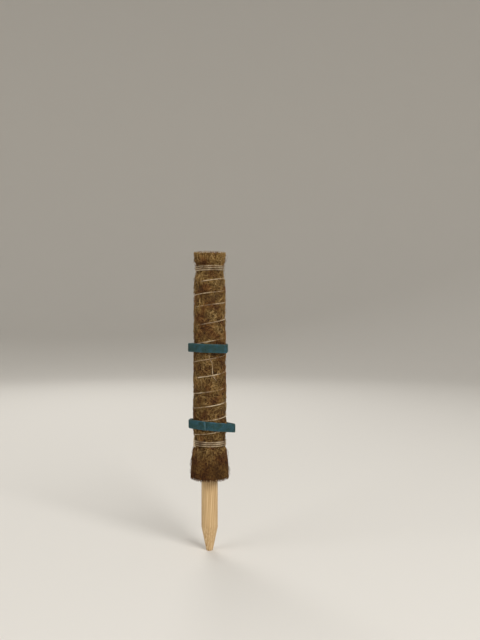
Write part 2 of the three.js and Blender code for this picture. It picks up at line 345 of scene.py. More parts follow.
# %% Helix
HELIX_START = 206.0  # angle at which the climb ends and the helix starts
CLIMB_HEIGHT = 16.3  # from the lowest turn to there
FIRST_SPACING = 16.4  # rise of a turn at the foot of the helix
SPACING_GROWTH = 1.2  # how much more each next turn rises
WIDENING_TURNS = 8
CLOSING_SPACING = 18.0  # rise of the turns above those, before they are fitted in
HELIX_FOOT = BASE.foot + CLIMB_HEIGHT
WANDER = 0.55  # how far a turn strays from its place
WANDERS_PER_TURN = 2.3
STEADY_TURNS = 0.3  # over which it comes to stray, at each end of the helix


def widening_rise(turns):
    """How high the helix has climbed after some turns, each wider than the last."""
    return FIRST_SPACING * turns + SPACING_GROWTH * turns * turns / 2


CLOSING_RISE = TOP.foot - HELIX_FOOT - widening_rise(WIDENING_TURNS)
CLOSING_TURNS = round(CLOSING_RISE / CLOSING_SPACING)
HELIX_TURNS = WIDENING_TURNS + CLOSING_TURNS


def helix_height(turns):
    """The thread's height after some turns of the helix."""
    above = max(turns - WIDENING_TURNS, 0.0) * CLOSING_RISE / CLOSING_TURNS
    ends = smoothstep(min(turns, HELIX_TURNS - turns), 0.0, STEADY_TURNS)
    # noise is 0 where its grid lines meet, so it is read half-way between them
    stray = WANDER * ends * noise.noise(Vector((turns * WANDERS_PER_TURN, 0.5, 0.5)))
    return HELIX_FOOT + widening_rise(min(turns, WIDENING_TURNS)) + above + stray


print("thread:", HELIX_TURNS, "helix turns and", BASE_TURNS + TOP_TURNS, "binding turns")

# %% Thread on the felt
CLIMB_BEND = 1.5  # radius of the climb's two bends
CLIMB_LEAN = 13.0  # degrees that it leans back on its way up
CLIMB_ANGLE = math.degrees(2 * CLIMB_BEND / BODY_RADIUS)
HOP_GAP = 0.7
HOP = 2 * THREAD_RADIUS + HOP_GAP  # how much further out the climb crosses the turns
HOP_HEIGHT = 2.0
ON_SEAT = CLEARANCE + THREAD_RADIUS
LANDING_TURNS = 0.15  # of the helix, over which it comes onto the top seat
TURN_STEPS = 24  # in a turn, one of which bridges the step at the lap edge


def on_felt(angle, z, offset):
    """A thread's place on the felt, taut enough to bridge the step down past the lap edge."""
    lap = max(lap_height(angle), lap_height(angle - 360.0 / TURN_STEPS))
    return polar(angle, felt_radius(z) + lap + offset, z)


def climb_point(height):
    """A point of the climb, at a height above the lowest turn."""
    to_bend = 1.0 - min(height / CLIMB_BEND, 1.0)
    from_bend = 1.0 - min((CLIMB_HEIGHT - height) / CLIMB_BEND, 1.0)
    across = 1.0 + math.sqrt(1.0 - to_bend**2) - math.sqrt(1.0 - from_bend**2)
    on_turns = ON_SEAT + HOP * smoothstep(height, 0.0, HOP_HEIGHT)
    landing = smoothstep(height, BASE.rise + THREAD_RADIUS, CLIMB_HEIGHT)
    lean = CLIMB_LEAN * (1.0 - height / CLIMB_HEIGHT)
    angle = HELIX_START - CLIMB_ANGLE * (1.0 - across / 2) + lean
    return on_felt(angle, BASE.foot + height, lerp(on_turns, -THREAD_SINK, landing))


def helix_point(turns):
    """A point of the helix, which lies sunk in the felt until it comes onto the top seat."""
    landing = smoothstep(turns, HELIX_TURNS - LANDING_TURNS, HELIX_TURNS)
    offset = lerp(-THREAD_SINK, ON_SEAT, landing)
    return on_felt(HELIX_START + 360.0 * turns, helix_height(turns), offset)


print("the climb crosses the turns", round(HOP, 2), "mm further out")

# %% Whole route
ROUTE_STEP = 0.33  # between points of a route, fine enough for the twist of the thread
TURN_POINTS = round(2 * math.pi * BODY_RADIUS / ROUTE_STEP)
BEND_POINTS = 7
BASE_START = HELIX_START - CLIMB_ANGLE + CLIMB_LEAN - 360.0 * BASE_TURNS
TOP_START = HELIX_START + 360.0 * HELIX_TURNS


def close_turns(start_angle, turns, first, last):
    """The route of a binding, from its first height to its last."""
    count = round(turns * TURN_POINTS)
    shares = [i / count for i in range(count)]
    return [on_felt(start_angle + 360.0 * turns * s, lerp(first, last, s), ON_SEAT) for s in shares]


def climb_route():
    """The route of the climb, with more points in its two bends."""
    bend = [math.pi / 2 * i / BEND_POINTS for i in range(BEND_POINTS)]
    straight = CLIMB_HEIGHT - 2 * CLIMB_BEND
    count = round(straight / ROUTE_STEP)
    heights = [CLIMB_BEND * (1 - math.cos(a)) for a in bend]
    heights += [CLIMB_BEND + straight * i / count for i in range(count)]
    heights += [CLIMB_HEIGHT - CLIMB_BEND * (1 - math.sin(a)) for a in bend]
    return [climb_point(height) for height in heights]


def measured(points):
    """Distance along a path to each of its points."""
    along = [0.0]
    for a, b in zip(points, points[1:]):
        along.append(along[-1] + (b - a).length)
    return along


winding = close_turns(BASE_START, BASE_TURNS, BASE.head, BASE.foot)
base_end = len(winding)
winding += climb_route()
winding += [helix_point(i / TURN_POINTS) for i in range(HELIX_TURNS * TURN_POINTS)]
top_start = len(winding)
winding += close_turns(TOP_START, TOP_TURNS, TOP.foot, TOP.head)
print("thread length:", round(measured(winding)[-1] * MM, 2), "m")

# %% [markdown]
# ## The felt
# Felt of coconut fibre is a springy mat of coarse brown hairs. Where the thread crosses it, it is
# pressed in, and between the turns it stands up in soft crowns. A plain ring block is subdivided
# finely, spun round the axis and then swollen to that surface. The block only has to look like the
# inside of the mat, painted dark as a painted shade between the hairs, because the hairs that show
# are made next.

# %% Felt surface with the thread's bite
BITE_DEPTH = 0.75  # how far the thread presses the hairs in
BITE_REACH = 2.6  # how far above and below itself it does so
LUMP_DEPTH = 0.35
LUMP_SIZE = 9.0
BED_DEPTH = 0.35  # of the hairs below the solid's surface, which their crowns then reach
MAT_DEPTH = 0.5  # of the dark mat below the hairs
KNOP_DEPTH = 0.3  # of the mat's small knots
KNOP_SIZE = 2.6


@functools.lru_cache(maxsize=None)
def turn_heights(half_degrees):
    """Heights at which the thread crosses a line up the pole, kept for each half degree."""
    share = ((half_degrees / 2 - HELIX_START) % 360.0) / 360.0
    return [helix_height(n + share) for n in range(HELIX_TURNS)]


def from_turn(angle, z):
    """How far the nearest turn of the thread is above or below a place on the felt."""
    return min(abs(z - height) for height in turn_heights(round(angle * 2) % 720))


def hair_bed(angle, z):
    """Radius of the layer that the hairs lie in, pressed in by the thread."""
    bite = BITE_DEPTH * math.exp(-((from_turn(angle, z) / BITE_REACH) ** 2))
    radius = felt_radius(z) + lap_height(angle)
    lumps = LUMP_DEPTH * noise.noise(polar(angle, radius, z) / LUMP_SIZE)
    return radius - BED_DEPTH - bite + lumps


def mat_surface(angle, z):
    """Radius of the knotty mat under the hairs."""
    bed = hair_bed(angle, z)
    return bed - MAT_DEPTH + KNOP_DEPTH * noise.noise(polar(angle, bed, z) / KNOP_SIZE)


front_bed = [hair_bed(FRONT, z) for z in range(round(BASE.head), round(TOP.foot))]
print("bed of the hairs at the front:", round(min(front_bed), 1), "to", round(max(front_bed), 1), "mm out")

# %% Felt block
FELT_ROWS = 440
FELT_COLUMNS = 180
END_RINGS = 22
BLOCK_RADIUS = 30.0


def felt_block():
    """A plain ring, subdivided finely enough for the felt's surface."""
    block = bmesh.new()
    corners = [(BLOCK_RADIUS, 0), (BLOCK_RADIUS, FELT_LENGTH), (FELT_BORE, FELT_LENGTH), (FELT_BORE, 0)]
    ring = [block.verts.new(polar(LAP_ANGLE, radius, z)) for radius, z in corners]
    skin, top, _, foot = [block.edges.new((ring[i], ring[(i + 1) % 4])) for i in range(4)]
    bmesh.ops.subdivide_edges(block, edges=[skin], cuts=FELT_ROWS - 1)
    bmesh.ops.subdivide_edges(block, edges=[top, foot], cuts=END_RINGS - 1)
    spin_round(block, FELT_COLUMNS)
    return block


block = felt_block()
print("felt block:", len(block.faces), "faces")

# %% Swell the block
ROLL_LAYERS = 2
ROLL_GROOVE_DEPTH = 1.4
ROLL_GROOVE_WIDTH = 0.5
END_LUMP = 0.5
RIM_SHARE = 0.01  # of the wall, at its two rims, that stays level


def roll_groove(angle, radius):
    """Depth of the spiral line between the layers of the roll, as its ends show it."""
    layer = (BODY_RADIUS - FELT_BORE) / ROLL_LAYERS
    share = ((angle - LAP_ANGLE) % 360.0) / 360.0
    seams = [FELT_BORE + layer * (share + k) for k in range(ROLL_LAYERS)]
    return ROLL_GROOVE_DEPTH * sum(math.exp(-(((radius - r) / ROLL_GROOVE_WIDTH) ** 2)) for r in seams)


def swell(block):
    """Moves the block's skin to the felt's surface, and its ends' rings with it."""
    for v in block.verts:
        angle = bearing(v.co)
        share = (v.co.xy.length - FELT_BORE) / (BLOCK_RADIUS - FELT_BORE)
        radius = FELT_BORE + share * (mat_surface(angle, v.co.z) - FELT_BORE)
        z = v.co.z
        if RIM_SHARE < share < 1 - RIM_SHARE:
            inward = 1.0 if z < FELT_LENGTH / 2 else -1.0
            lump = END_LUMP * noise.noise(v.co / KNOP_SIZE)
            z += inward * (roll_groove(angle, radius) + END_LUMP + lump)
        v.co = polar(angle, radius, z)


swell(block)
print("felt now reaches", round(max(v.co.xy.length for v in block.verts), 1), "mm from the axis")


# %% Map the skin
def map_skin(block):
    """A UV map in millimetres: round the pole and up it, with its cut at the lap edge."""
    uv = block.loops.layers.uv.new("skin_mm")
    for face in block.faces:
        middle = (bearing(face.calc_center_median()) - LAP_ANGLE) % 360.0
        for loop in face.loops:
            angle = (bearing(loop.vert.co) - LAP_ANGLE) % 360.0
            angle += 360.0 * round((middle - angle) / 360.0)
            loop[uv].uv = (math.radians(angle) * BODY_RADIUS, loop.vert.co.z)


map_skin(block)
felt_mesh = to_mesh("felt_roll", block)
print("felt roll:", len(felt_mesh.polygons), "faces")

# %% [markdown]
# The mat between the hairs is coir too, painted dark as a painted shade, for it lies in the shade of
# the hairs. Its colour comes from layers of noise that are stretched along the skin in several
# directions, so that it reads as crossing hairs. The husks are not all of one age, so larger
# red-brown, grey-brown and dark patches tint the mat and the hairs alike. Small dark flecks are
# painted shade in the pits between the hairs, and the felt is painted darker towards its foot, also
# a painted shade.

# %% Coir tints
PATCH_SIZE = 17.0
FLECK_SIZE = 2.6
# height up to which the felt's foot is painted darker, a painted shade
FOOT_SHADE_HEIGHT = 60.0


def layered(tree, layers):
    """Colours multiplied together. A layer is a pattern and the stops of the ramp that it runs along."""
    first, *tints = [add_node(tree, "ValToRGB", {"Fac": pattern}, stops) for pattern, stops in layers]
    colour = first.outputs["Color"]
    for tint in tints:
        mixed = add_node(tree, "Mix", {0: 1.0, 6: colour, 7: tint}, data_type="RGBA", blend_type="MULTIPLY")
        colour = mixed.outputs[2]
    return colour


def husk_tints_and_painted_shade(tree):
    """What the mat and the hairs share: the husk's patches, and painted shade, darker towards the foot and
    in small flecks.
    """
    place = add_node(tree, "TexCoord").outputs["Object"]
    height = add_node(tree, "SeparateXYZ", {"Vector": place}).outputs["Z"]
    painted_foot_shade = add_node(tree, "MapRange", {"Value": height, "From Min": 0.0, "From Max": FOOT_SHADE_HEIGHT * MM})
    patches, flecks = [
        add_node(tree, "TexNoise", {"Vector": place, "Scale": 1 / (size * MM), "Detail": 1.0})
        for size in (PATCH_SIZE, FLECK_SIZE)
    ]
    return [
        # painted shade: darker towards the felt's foot
        (painted_foot_shade, [(0.3, "#b09d80"), (0.9, "#ffffff")]),
        (patches, [(0.36, "#dcbca2"), (0.5, "#f4e8d4"), (0.64, "#fffbf0")]),
        # dark flecks: painted shade in the pits between the hairs
        (flecks, [(0.36, "#b4a184"), (0.54, "#ffffff")]),
    ]


print("husk patches are", PATCH_SIZE, "mm across, and flecks", FLECK_SIZE, "mm")

# %% Coir mat material
HAIR_WIDTH = 0.55  # coarser than a real hair, so that it still shows in the render
HAIR_LENGTH = 9.0
HAIR_DIRECTIONS = (12, 58, -40, -78)  # degrees from level


def coir_mat_painted_shade():
    """Pressed coconut husk: matt, rough at every scale, and painted dark as the shade between its hairs."""
    material, tree, shader = new_material("coir_mat_painted_shade", Roughness=0.9, IOR=1.5, Specular_IOR_Level=0.25)
    skin = add_node(tree, "UVMap", uv_map="skin_mm")
    hairs = 0.0
    for direction in HAIR_DIRECTIONS:
        turned = add_node(tree, "Mapping", {"Vector": skin, "Rotation": (0, 0, math.radians(-direction))})
        hair_size = {"Vector": turned, "Scale": (1 / HAIR_LENGTH, 1 / HAIR_WIDTH, 1)}
        stretched = add_node(tree, "Mapping", hair_size)
        streaks = {"Vector": stretched, "Scale": 1.0, "Detail": 2.0, "Distortion": 0.5}
        layer = add_node(tree, "TexNoise", streaks, noise_dimensions="2D")
        hairs = add_node(tree, "Math", {0: hairs, 1: layer}, operation="MAXIMUM")
    # these dark shades are painted shade: the mat lies in the shade of the hairs over it
    shades = [(0.48, "#2e2010"), (0.6, "#503b1e"), (0.72, "#735a33"), (0.85, "#907645")]
    bump = add_node(tree, "Bump", {"Height": hairs, "Strength": 0.8, "Distance": 0.5 * MM})
    feed(shader, {"Base Color": layered(tree, [(hairs, shades), *husk_tints_and_painted_shade(tree)]), "Normal": bump})
    return material


felt_roll = add_piece("felt_roll", felt_mesh, coir_mat_painted_shade())

# %% [markdown]
# ## The hairs
# Coconut hairs are stiff, a quarter of a millimetre thick and curved, and they lie in every
# direction. A particle system's hairs would not be part of the mesh, so each hair is a poly spline
# here, thickened by its curve's bevel and turned into a mesh. A number on each hair, its tone, lets
# one material give every hair its own shade. The ties slide over the hairs, so the room that they
# leave is worked out first.

# %% Sizes of the ties
TIE_WIDTH = 11.5
TIE_THICKNESS = 1.4
TIES = {
    "upper_tie": {
        "height": 172.7,
        "travel": (-35.0, 95.0),  # how far it slides down and up
        "end_angle": 100.0,  # at which its outer end lies
        "tilt": 1.6,  # degrees by which its right side hangs lower
        "lean": 0.0,
        # angle, diameter and slack of each pocket
        "pockets": [(199.0, 5.6, 0.0), (315.0, 8.0, 0.0)],
    },
    "lower_tie": {
        "height": 68.4,
        "travel": (-8.0, 45.0),
        "end_angle": 262.0,
        "tilt": 6.4,
        "lean": 5.0,  # degrees by which its front sits higher
        "pockets": [(215.0, 5.4, 0.0), (350.0, 8.4, 2.0)],
    },
}
print("ties at", [tie["height"] for tie in TIES.values()], "mm above the felt's foot")

# %% Where the ties slide
SLIDE_STEPS = 24


def tie_circles(tie):
    """What a tie is drawn round: its pockets, and the pole where it is widest along the slide."""
    low = tie["height"] + tie["travel"][0] - TIE_WIDTH
    high = tie["height"] + TIE_WIDTH
    heights = [lerp(low, high, i / SLIDE_STEPS) for i in range(SLIDE_STEPS + 1)]
    widest = max(felt_radius(z) for z in heights) + LAP_STEP / 2
    pole = widest + THREAD_RADIUS - THREAD_SINK + CLEARANCE
    circles = [(Vector((0, 0)), pole)]
    for angle, diameter, slack in tie["pockets"]:
        circles.append((polar(angle, pole + slack + diameter / 2, 0).to_2d(), diameter / 2))
    return circles


def belt_point(circles, angle, offset):
    """The point of a taut belt round these circles whose outward direction is the angle."""
    out = polar(angle, 1, 0).to_2d()
    centre, radius = max(circles, key=lambda c: c[0].dot(out) + c[1])
    return centre + (radius + offset) * out


def tie_fall(tie, point):
    """How far a tie that isn't level lies below its middle height at a point seen from above."""
    return math.tan(math.radians(tie["tilt"])) * point.x + math.tan(math.radians(tie["lean"])) * point.y


for tie in TIES.values():
    tie["circles"] = tie_circles(tie)
    tie["inside"] = tie["circles"][0][1]
    outline = [belt_point(tie["circles"], angle, TIE_THICKNESS) for angle in range(360)]
    falls = [tie_fall(tie, point) for point in outline]
    tie["low"] = tie["height"] + tie["travel"][0] - TIE_WIDTH / 2 - max(falls)
    tie["high"] = tie["height"] + tie["travel"][1] + TIE_WIDTH / 2 - min(falls)
print("ties slide from", {name: (round(t["low"]), round(t["high"])) for name, t in TIES.items()})

# %% Strands to mesh
TUBE_SIDES = 4  # what the plainest bevel of a curve gives
TIP_THICKNESS = 0.55  # of a strand's two tips, as a share of its own
TIP_LENGTH = 0.25  # of the taper at each tip, as a share of the strand


def strand_mesh(name, strands):
    """One mesh of thin closed tubes. A strand is a list of points, its thickness and its tone."""
    curve = bpy.data.curves.new(name, "CURVE")
    curve.dimensions = "3D"
    curve.bevel_depth = MM / 2
    curve.bevel_resolution = 0
    for points, thickness, _ in strands:
        last = len(points) - 1
        from_tips = [min(i, last - i) / (TIP_LENGTH * last) for i in range(len(points))]
        spline = curve.splines.new("POLY")
        spline.points.add(last)
        spline.points.foreach_set("co", [x for p in points for x in (*(p * MM), 1.0)])
        radii = [thickness * lerp(TIP_THICKNESS, 1.0, min(1.0, share)) for share in from_tips]
        spline.points.foreach_set("radius", radii)
    holder = bpy.data.objects.new(name, curve)
    bpy.context.scene.collection.objects.link(holder)
    evaluated = holder.evaluated_get(bpy.context.evaluated_depsgraph_get())
    mesh = bpy.data.meshes.new_from_object(evaluated)
    bpy.data.objects.remove(holder)
    bpy.data.curves.remove(curve)
    tones = [tone for points, _, tone in strands for _ in range(len(points) * TUBE_SIDES)]
    mesh.attributes.new("tone", "FLOAT", "POINT").data.foreach_set("value", tones)
    tubes = bmesh.new()
    tubes.from_mesh(mesh)
    bmesh.ops.holes_fill(tubes, edges=[e for e in tubes.edges if e.is_boundary], sides=TUBE_SIDES)
    tubes.to_mesh(mesh)
    tubes.free()
    return mesh


print("a strand has", TUBE_SIDES, "sides, and its tips", TIP_THICKNESS, "of its thickness")

# %% One hair
HAIR_POINTS = 8
ALONG_HAIR = [i / (HAIR_POINTS - 1) for i in range(HAIR_POINTS)]
TIE_MARGIN = 0.35  # between the tallest hair and a tie that slides over it
EDGE_MARGIN = 0.4  # between a lying hair and the felt's upper or lower edge
LYING_DEPTH = 0.5  # of the ends of a lying hair below the bed
ARCH_FULLNESS = 0.7  # below 1 makes the arch of a hair fuller
TONE_SPREAD = 0.22
draw = random.Random(7)


def room_above(z, length, reach):
    """How high a hair from here may stand above its bed, up to reach, and still pass under the ties."""
    for tie in TIES.values():
        if tie["low"] - length < z < tie["high"] + length:
            widest = max(felt_radius(height) for height in (z - length, z, z + length))
            bed = widest + LAP_STEP / 2 - BED_DEPTH
            reach = min(reach, tie["inside"] - TIE_MARGIN - bed)
    return max(reach, 0.0)


def hair_path(angle, z, heading, length, bend, rise):
    """A bent path along the felt. rise gives its height above the bed from its share of the way."""
    points = []
    step = length / (HAIR_POINTS - 1)
    for share in ALONG_HAIR:
        z = clamp(z, EDGE_MARGIN, FELT_LENGTH - EDGE_MARGIN)
        radius = hair_bed(angle, z)
        points.append(polar(angle, radius + rise(share), z))
        angle += math.degrees(math.cos(heading) * step / radius)
        z += math.sin(heading) * step
        heading += bend * step
    return points


def arch(height):
    """A rise that is below the bed at both ends of a hair and highest between them."""
    return lambda share: lerp(-LYING_DEPTH, height, math.sin(math.pi * share) ** ARCH_FULLNESS)


def hair_tone(middle=0.5, spread=TONE_SPREAD):
    """A tone drawn near the middle one, from 0 for dark to 1 for pale."""
    return clamp(draw.gauss(middle, spread), 0.0, 1.0)


under_tie = room_above(TIES["upper_tie"]["height"], 0.0, TIE_WIDTH)
print("room for hairs under the upper tie:", round(under_tie, 2), "mm")

# %% [markdown]
# The hairs don't lie singly. The husk comes apart in locks, a few hairs side by side that share a
# direction and a shade. From a distance the locks are the grain of the felt that the eye sees.

# %% One lock
LOCK_HAIRS = 3
LOCK_WIDTH = 1.0
LOCK_STAGGER = 1.5
LOCK_THICKNESS = (0.22, 0.42)  # of its hairs
LOWEST_ARCH = -0.1
SHADE_SIZE = 8.0  # of a part of the felt whose locks have much the same shade
SHADE_DRIFT = 0.35
LOCK_TONES = 0.18  # spread of the tones of the locks in such a part
HAIR_TONES = 0.09  # spread of the tones in a lock
HAIR_STRAY = 0.08  # radians from the lock's way
HAIR_CURL = 0.015  # how much more or less a hair bends than its lock
HAIR_LENGTHS = (0.7, 1.1)  # as shares of the lock's


def lock(angle, z, heading, length, bend, height):
    """A few hairs side by side, all much of one shade."""
    drift = SHADE_DRIFT * noise.noise(polar(angle, BODY_RADIUS, z) / SHADE_SIZE)
    shade = hair_tone(0.5 + drift, LOCK_TONES)
    hairs = []
    for _ in range(LOCK_HAIRS):
        aside = draw.uniform(-0.5, 0.5) * LOCK_WIDTH
        here = angle - math.degrees(math.sin(heading) * aside / BODY_RADIUS)
        up = z + math.cos(heading) * aside + draw.uniform(-LOCK_STAGGER, LOCK_STAGGER)
        way = heading + draw.gauss(0, HAIR_STRAY)
        rise = arch(min(draw.uniform(LOWEST_ARCH, height), room_above(up, length, height)))
        reach = length * draw.uniform(*HAIR_LENGTHS)
        path = hair_path(here, up, way, reach, bend + draw.gauss(0, HAIR_CURL), rise)
        hairs.append((path, draw.uniform(*LOCK_THICKNESS), hair_tone(shade, HAIR_TONES)))
    return hairs


print("a lock is", LOCK_HAIRS, "hairs over a width of", LOCK_WIDTH, "mm")

# %% Locks on the skin
LYING_LOCKS = 3200
LYING_PLACES = (6, FELT_LENGTH - 2)  # heights between which they start
LYING_LENGTH = (7, 17)
LYING_HEIGHT = 0.45
LYING_SPREAD = 0.6  # radians between the ways of neighbours
LYING_BEND = 0.07  # radians in a millimetre
SWIRL_SIZE = 22.0  # of a part of the felt whose locks lie much the same way
SKIRT_LOCKS = 700
SKIRT_PLACES = (12, BASE.foot)
SKIRT_LENGTH = (14, 32)
SKIRT_HEIGHT = 0.7
SKIRT_SPREAD = 0.16
SKIRT_BEND = 0.012


def lying_lock():
    """On the body the locks swirl, much the same way as their neighbours."""
    angle = draw.uniform(0, 360)
    z = draw.uniform(*LYING_PLACES)
    swirl = 2 * math.pi * noise.noise(polar(angle, BODY_RADIUS, z) / SWIRL_SIZE)
    heading = swirl + draw.gauss(0, LYING_SPREAD)
    length = draw.uniform(*LYING_LENGTH)
    return lock(angle, z, heading, length, draw.gauss(0, LYING_BEND), LYING_HEIGHT)


def skirt_lock():
    """Below the base binding the hairs comb downwards."""
    heading = -math.pi / 2 + draw.gauss(0, SKIRT_SPREAD)
    z = draw.uniform(*SKIRT_PLACES)
    angle = draw.uniform(0, 360)
    length = draw.uniform(*SKIRT_LENGTH)
    return lock(angle, z, heading, length, draw.gauss(0, SKIRT_BEND), SKIRT_HEIGHT)


lying = [hair for _ in range(LYING_LOCKS) for hair in lying_lock()]
combed = [hair for _ in range(SKIRT_LOCKS) for hair in skirt_lock()]
print("hairs:", len(lying), "lying and", len(combed), "combed")

# %% [markdown]
# Where the thread has been pulled tight, some hairs have sprung back over it. They break its line
# here and there, and they are what makes it look wound into the felt and not laid on it.

# %% Hairs over the thread
CROSSING_HAIRS = 1100
CROSSING_LENGTH = (7, 15)
CROSSING_SLANT = (45, 135)  # degrees from level
CROSSING_THICKNESS = (0.24, 0.4)
CROSSING_TONE = 0.45
CROSSING_GAP = 0.12  # over the thread's crown
CROSSING_LIFT = THREAD_RADIUS - THREAD_SINK + CROSSING_GAP
CROSSING_TUCK = 1.2  # how deep its two ends go into the felt
CROSSING_MARGIN = 1.0  # to the felt's two edges
BARE_TURNS = 0.1  # of the helix, at its start
COVER_TURNS = 0.16  # of the helix from one covered stretch to the next
COVER_NOISE = (-0.15, 0.45)  # noise at which none and all of the tries become hairs


def covered_place():
    """A place on the helix, most often one of those where the felt has closed over the thread."""
    while True:
        turns = draw.uniform(BARE_TURNS, HELIX_TURNS - LANDING_TURNS)
        cover = noise.noise(Vector((turns / COVER_TURNS, 2.5, 0.5)))
        if draw.random() < smoothstep(cover, *COVER_NOISE):
            return turns


def crossing_hair():
    """A hair that arches over the thread, with both ends in the felt."""
    turns = covered_place()
    angle = (HELIX_START + 360.0 * turns) % 360.0
    z = helix_height(turns)
    length = draw.uniform(*CROSSING_LENGTH)
    heading = math.radians(draw.choice((1, -1)) * draw.uniform(*CROSSING_SLANT))
    points = []
    for share in ALONG_HAIR:
        from_middle = share - 0.5
        here = angle + math.degrees(math.cos(heading) * length / BODY_RADIUS * from_middle)
        height = z + math.sin(heading) * length * from_middle
        height = clamp(height, CROSSING_MARGIN, FELT_LENGTH - CROSSING_MARGIN)
        over = CROSSING_LIFT * math.cos(math.pi * from_middle) ** 0.5
        lift = over - CROSSING_TUCK * (2 * from_middle) ** 4
        points.append(polar(here, felt_radius(height) + lap_height(here) + lift, height))
    return points, draw.uniform(*CROSSING_THICKNESS), hair_tone(CROSSING_TONE)


crossing = [crossing_hair() for _ in range(CROSSING_HAIRS)]
print("hairs over the thread:", len(crossing))

# %% [markdown]
# Other hairs have sprung out of the felt, and at its two cut ends they stand out of the edge or lie
# along the roll. They could be drawn as a bump in the mat's material, but a bump keeps the outline
# smooth, and the fuzzy outline is what tells coir from wood. So they are strands too. A tie that
# slides over them would cut through them, so those on its way are kept short.

# %% Hairs that stand up
FUZZ_HAIRS = 2500
FUZZ_PLACES = (4, FELT_LENGTH - 2)
FUZZ_REACH = (0.6, 3.2)
FUZZ_LENGTH = (3, 6)  # beside twice its reach
FUZZ_BEND = 0.12
FUZZ_THICKNESS = (0.16, 0.32)
FREE_DEPTH = 0.3  # below the bed, at which a hair with a free end starts
FREE_SHARE = 0.5  # of the hairs


def spring(height):
    """A rise from inside the felt to a hair's free end."""
    return lambda share: lerp(-FREE_DEPTH, height, math.sin(math.pi / 2 * share))


def fuzz_hair():
    """A hair that springs out of the felt, as far as the ties leave room."""
    angle = draw.uniform(0, 360)
    z = draw.uniform(*FUZZ_PLACES)
    wanted = draw.uniform(*FUZZ_REACH)
    length = draw.uniform(*FUZZ_LENGTH) + 2.0 * wanted
    height = room_above(z, length, wanted)
    heading = draw.uniform(0, 2 * math.pi)
    rise = spring(height) if draw.random() < FREE_SHARE else arch(height)
    path = hair_path(angle, z, heading, length, draw.gauss(0, FUZZ_BEND), rise)
    return path, draw.uniform(*FUZZ_THICKNESS), hair_tone()


standing = [fuzz_hair() for _ in range(FUZZ_HAIRS)]
print("hairs that stand up:", len(standing))

# %% Hairs at the cut ends
FELT_ENDS = ((0, -1), (FELT_LENGTH, 1))  # height, and the way that the end faces
CUT_THICKNESS = (0.24, 0.45)
END_HAIRS = 900
END_START = (3, 14)  # how far before the end it starts
END_REACH = (0.3, 3.6)
END_LEAN = 0.25
END_FLARE = (-1.5, 0.9)
END_INSET = 0.5  # from the end to where the felt is measured for it
FACE_HAIRS = 420
FACE_LENGTH = (3, 12)
FACE_REACH = (0.0, 0.9)
FACE_DEPTH = 1.6
FACE_DRIFT = 1.0  # outwards or inwards from its start to its end
FACE_FULLNESS = 0.6
SKIN_MARGIN = 0.8
BORE_MARGIN = 0.6
BORE_GAP = 0.4  # that is left when it drifts inwards


def end_hair(z, way):
    """A cut hair that stands out of the felt's upper or lower edge."""
    angle = draw.uniform(0, 360)
    start = z - way * draw.uniform(*END_START)
    length = abs(z - start) + draw.uniform(*END_REACH)
    lean = draw.gauss(0, END_LEAN)
    flare = draw.uniform(*END_FLARE)
    surface = hair_bed(angle, z - way * END_INSET)
    points = []
    for share in ALONG_HAIR:
        height = start + way * length * share
        radius = hair_bed(angle, height) if 0 < height < FELT_LENGTH else surface
        turn = angle + math.degrees(lean * length * share / radius)
        points.append(polar(turn, radius + lerp(-FREE_DEPTH, flare, share**2), height))
    return points, draw.uniform(*CUT_THICKNESS), hair_tone()


def face_hair(z, way):
    """A hair on the roll's cut end, which follows the roll round."""
    radius = draw.uniform(FELT_BORE + BORE_MARGIN, felt_radius(z) - SKIN_MARGIN)
    angle = draw.uniform(0, 360)
    sweep = math.degrees(draw.uniform(*FACE_LENGTH) / radius)
    drift = draw.gauss(0, FACE_DRIFT)
    height = draw.uniform(*FACE_REACH)
    points = []
    for share in ALONG_HAIR:
        lift = lerp(-FACE_DEPTH, height, math.sin(math.pi * share) ** FACE_FULLNESS)
        reach = max(radius + drift * share, FELT_BORE + BORE_GAP)
        points.append(polar(angle + sweep * share, reach, z + way * lift))
    return points, draw.uniform(*CUT_THICKNESS), hair_tone()


cut_ends = [end_hair(z, way) for z, way in FELT_ENDS for _ in range(END_HAIRS)]
cut_ends += [face_hair(z, way) for z, way in FELT_ENDS for _ in range(FACE_HAIRS)]
print("hairs at the cut ends:", len(cut_ends))

# %% [markdown]
# The hairs are the same coir as the mat, without the mat's painted shade. One colour for all of them
# would look like plastic, and a material for each would be too many. So one material turns the tone
# that each strand carries into a shade, and the husk's patches, with the painted shade of the foot
# and of the flecks, then tint neighbours alike.


# %% Coir hair material
def coir_hair():
    """Dry coconut hair: matt, brown, each one its own shade."""
    material, tree, shader = new_material("coir_hair", Roughness=0.72, IOR=1.5, Specular_IOR_Level=0.25)
    tone = add_node(tree, "Attribute", attribute_name="tone").outputs["Fac"]
    shades = [(0.05, "#563e20"), (0.35, "#86693c"), (0.6, "#a28653"), (0.8, "#ba9f6c"), (1.0, "#d3bb8b")]
    feed(shader, {"Base Color": layered(tree, [(tone, shades), *husk_tints_and_painted_shade(tree)])})
    return material


# the lying hairs are split into three pieces, to keep each mesh under 200,000 triangles
third = len(lying) // 3
hair_groups = {
    "lying_hairs_a": lying[:third],
    "lying_hairs_b": lying[third : 2 * third],
    "lying_hairs_c": lying[2 * third :],
    "skirt_hairs": combed,
    "crossing_hairs": crossing,
    "standing_hairs": standing,
    "cut_hairs": cut_ends,
}
hair = coir_hair()
hair_pieces = [add_piece(name, strand_mesh(name, group), hair) for name, group in hair_groups.items()]

# %% [markdown]
# ## The thread
# The thread is two plies of pale fibre twisted together. Each ply is a spline that turns round the
# thread's route, so the twist is real and catches the light in small beads.

# %% Twisted plies
PLIES = 2
PLY_THICKNESS = 0.74
PLY_OFFSET = 0.28  # from the thread's middle to a ply's middle
PLY_PITCH = 2.9


def direction(points, i):
    """The way that a path runs at one of its points."""
    return (points[min(i + 1, len(points) - 1)] - points[max(i - 1, 0)]).normalized()


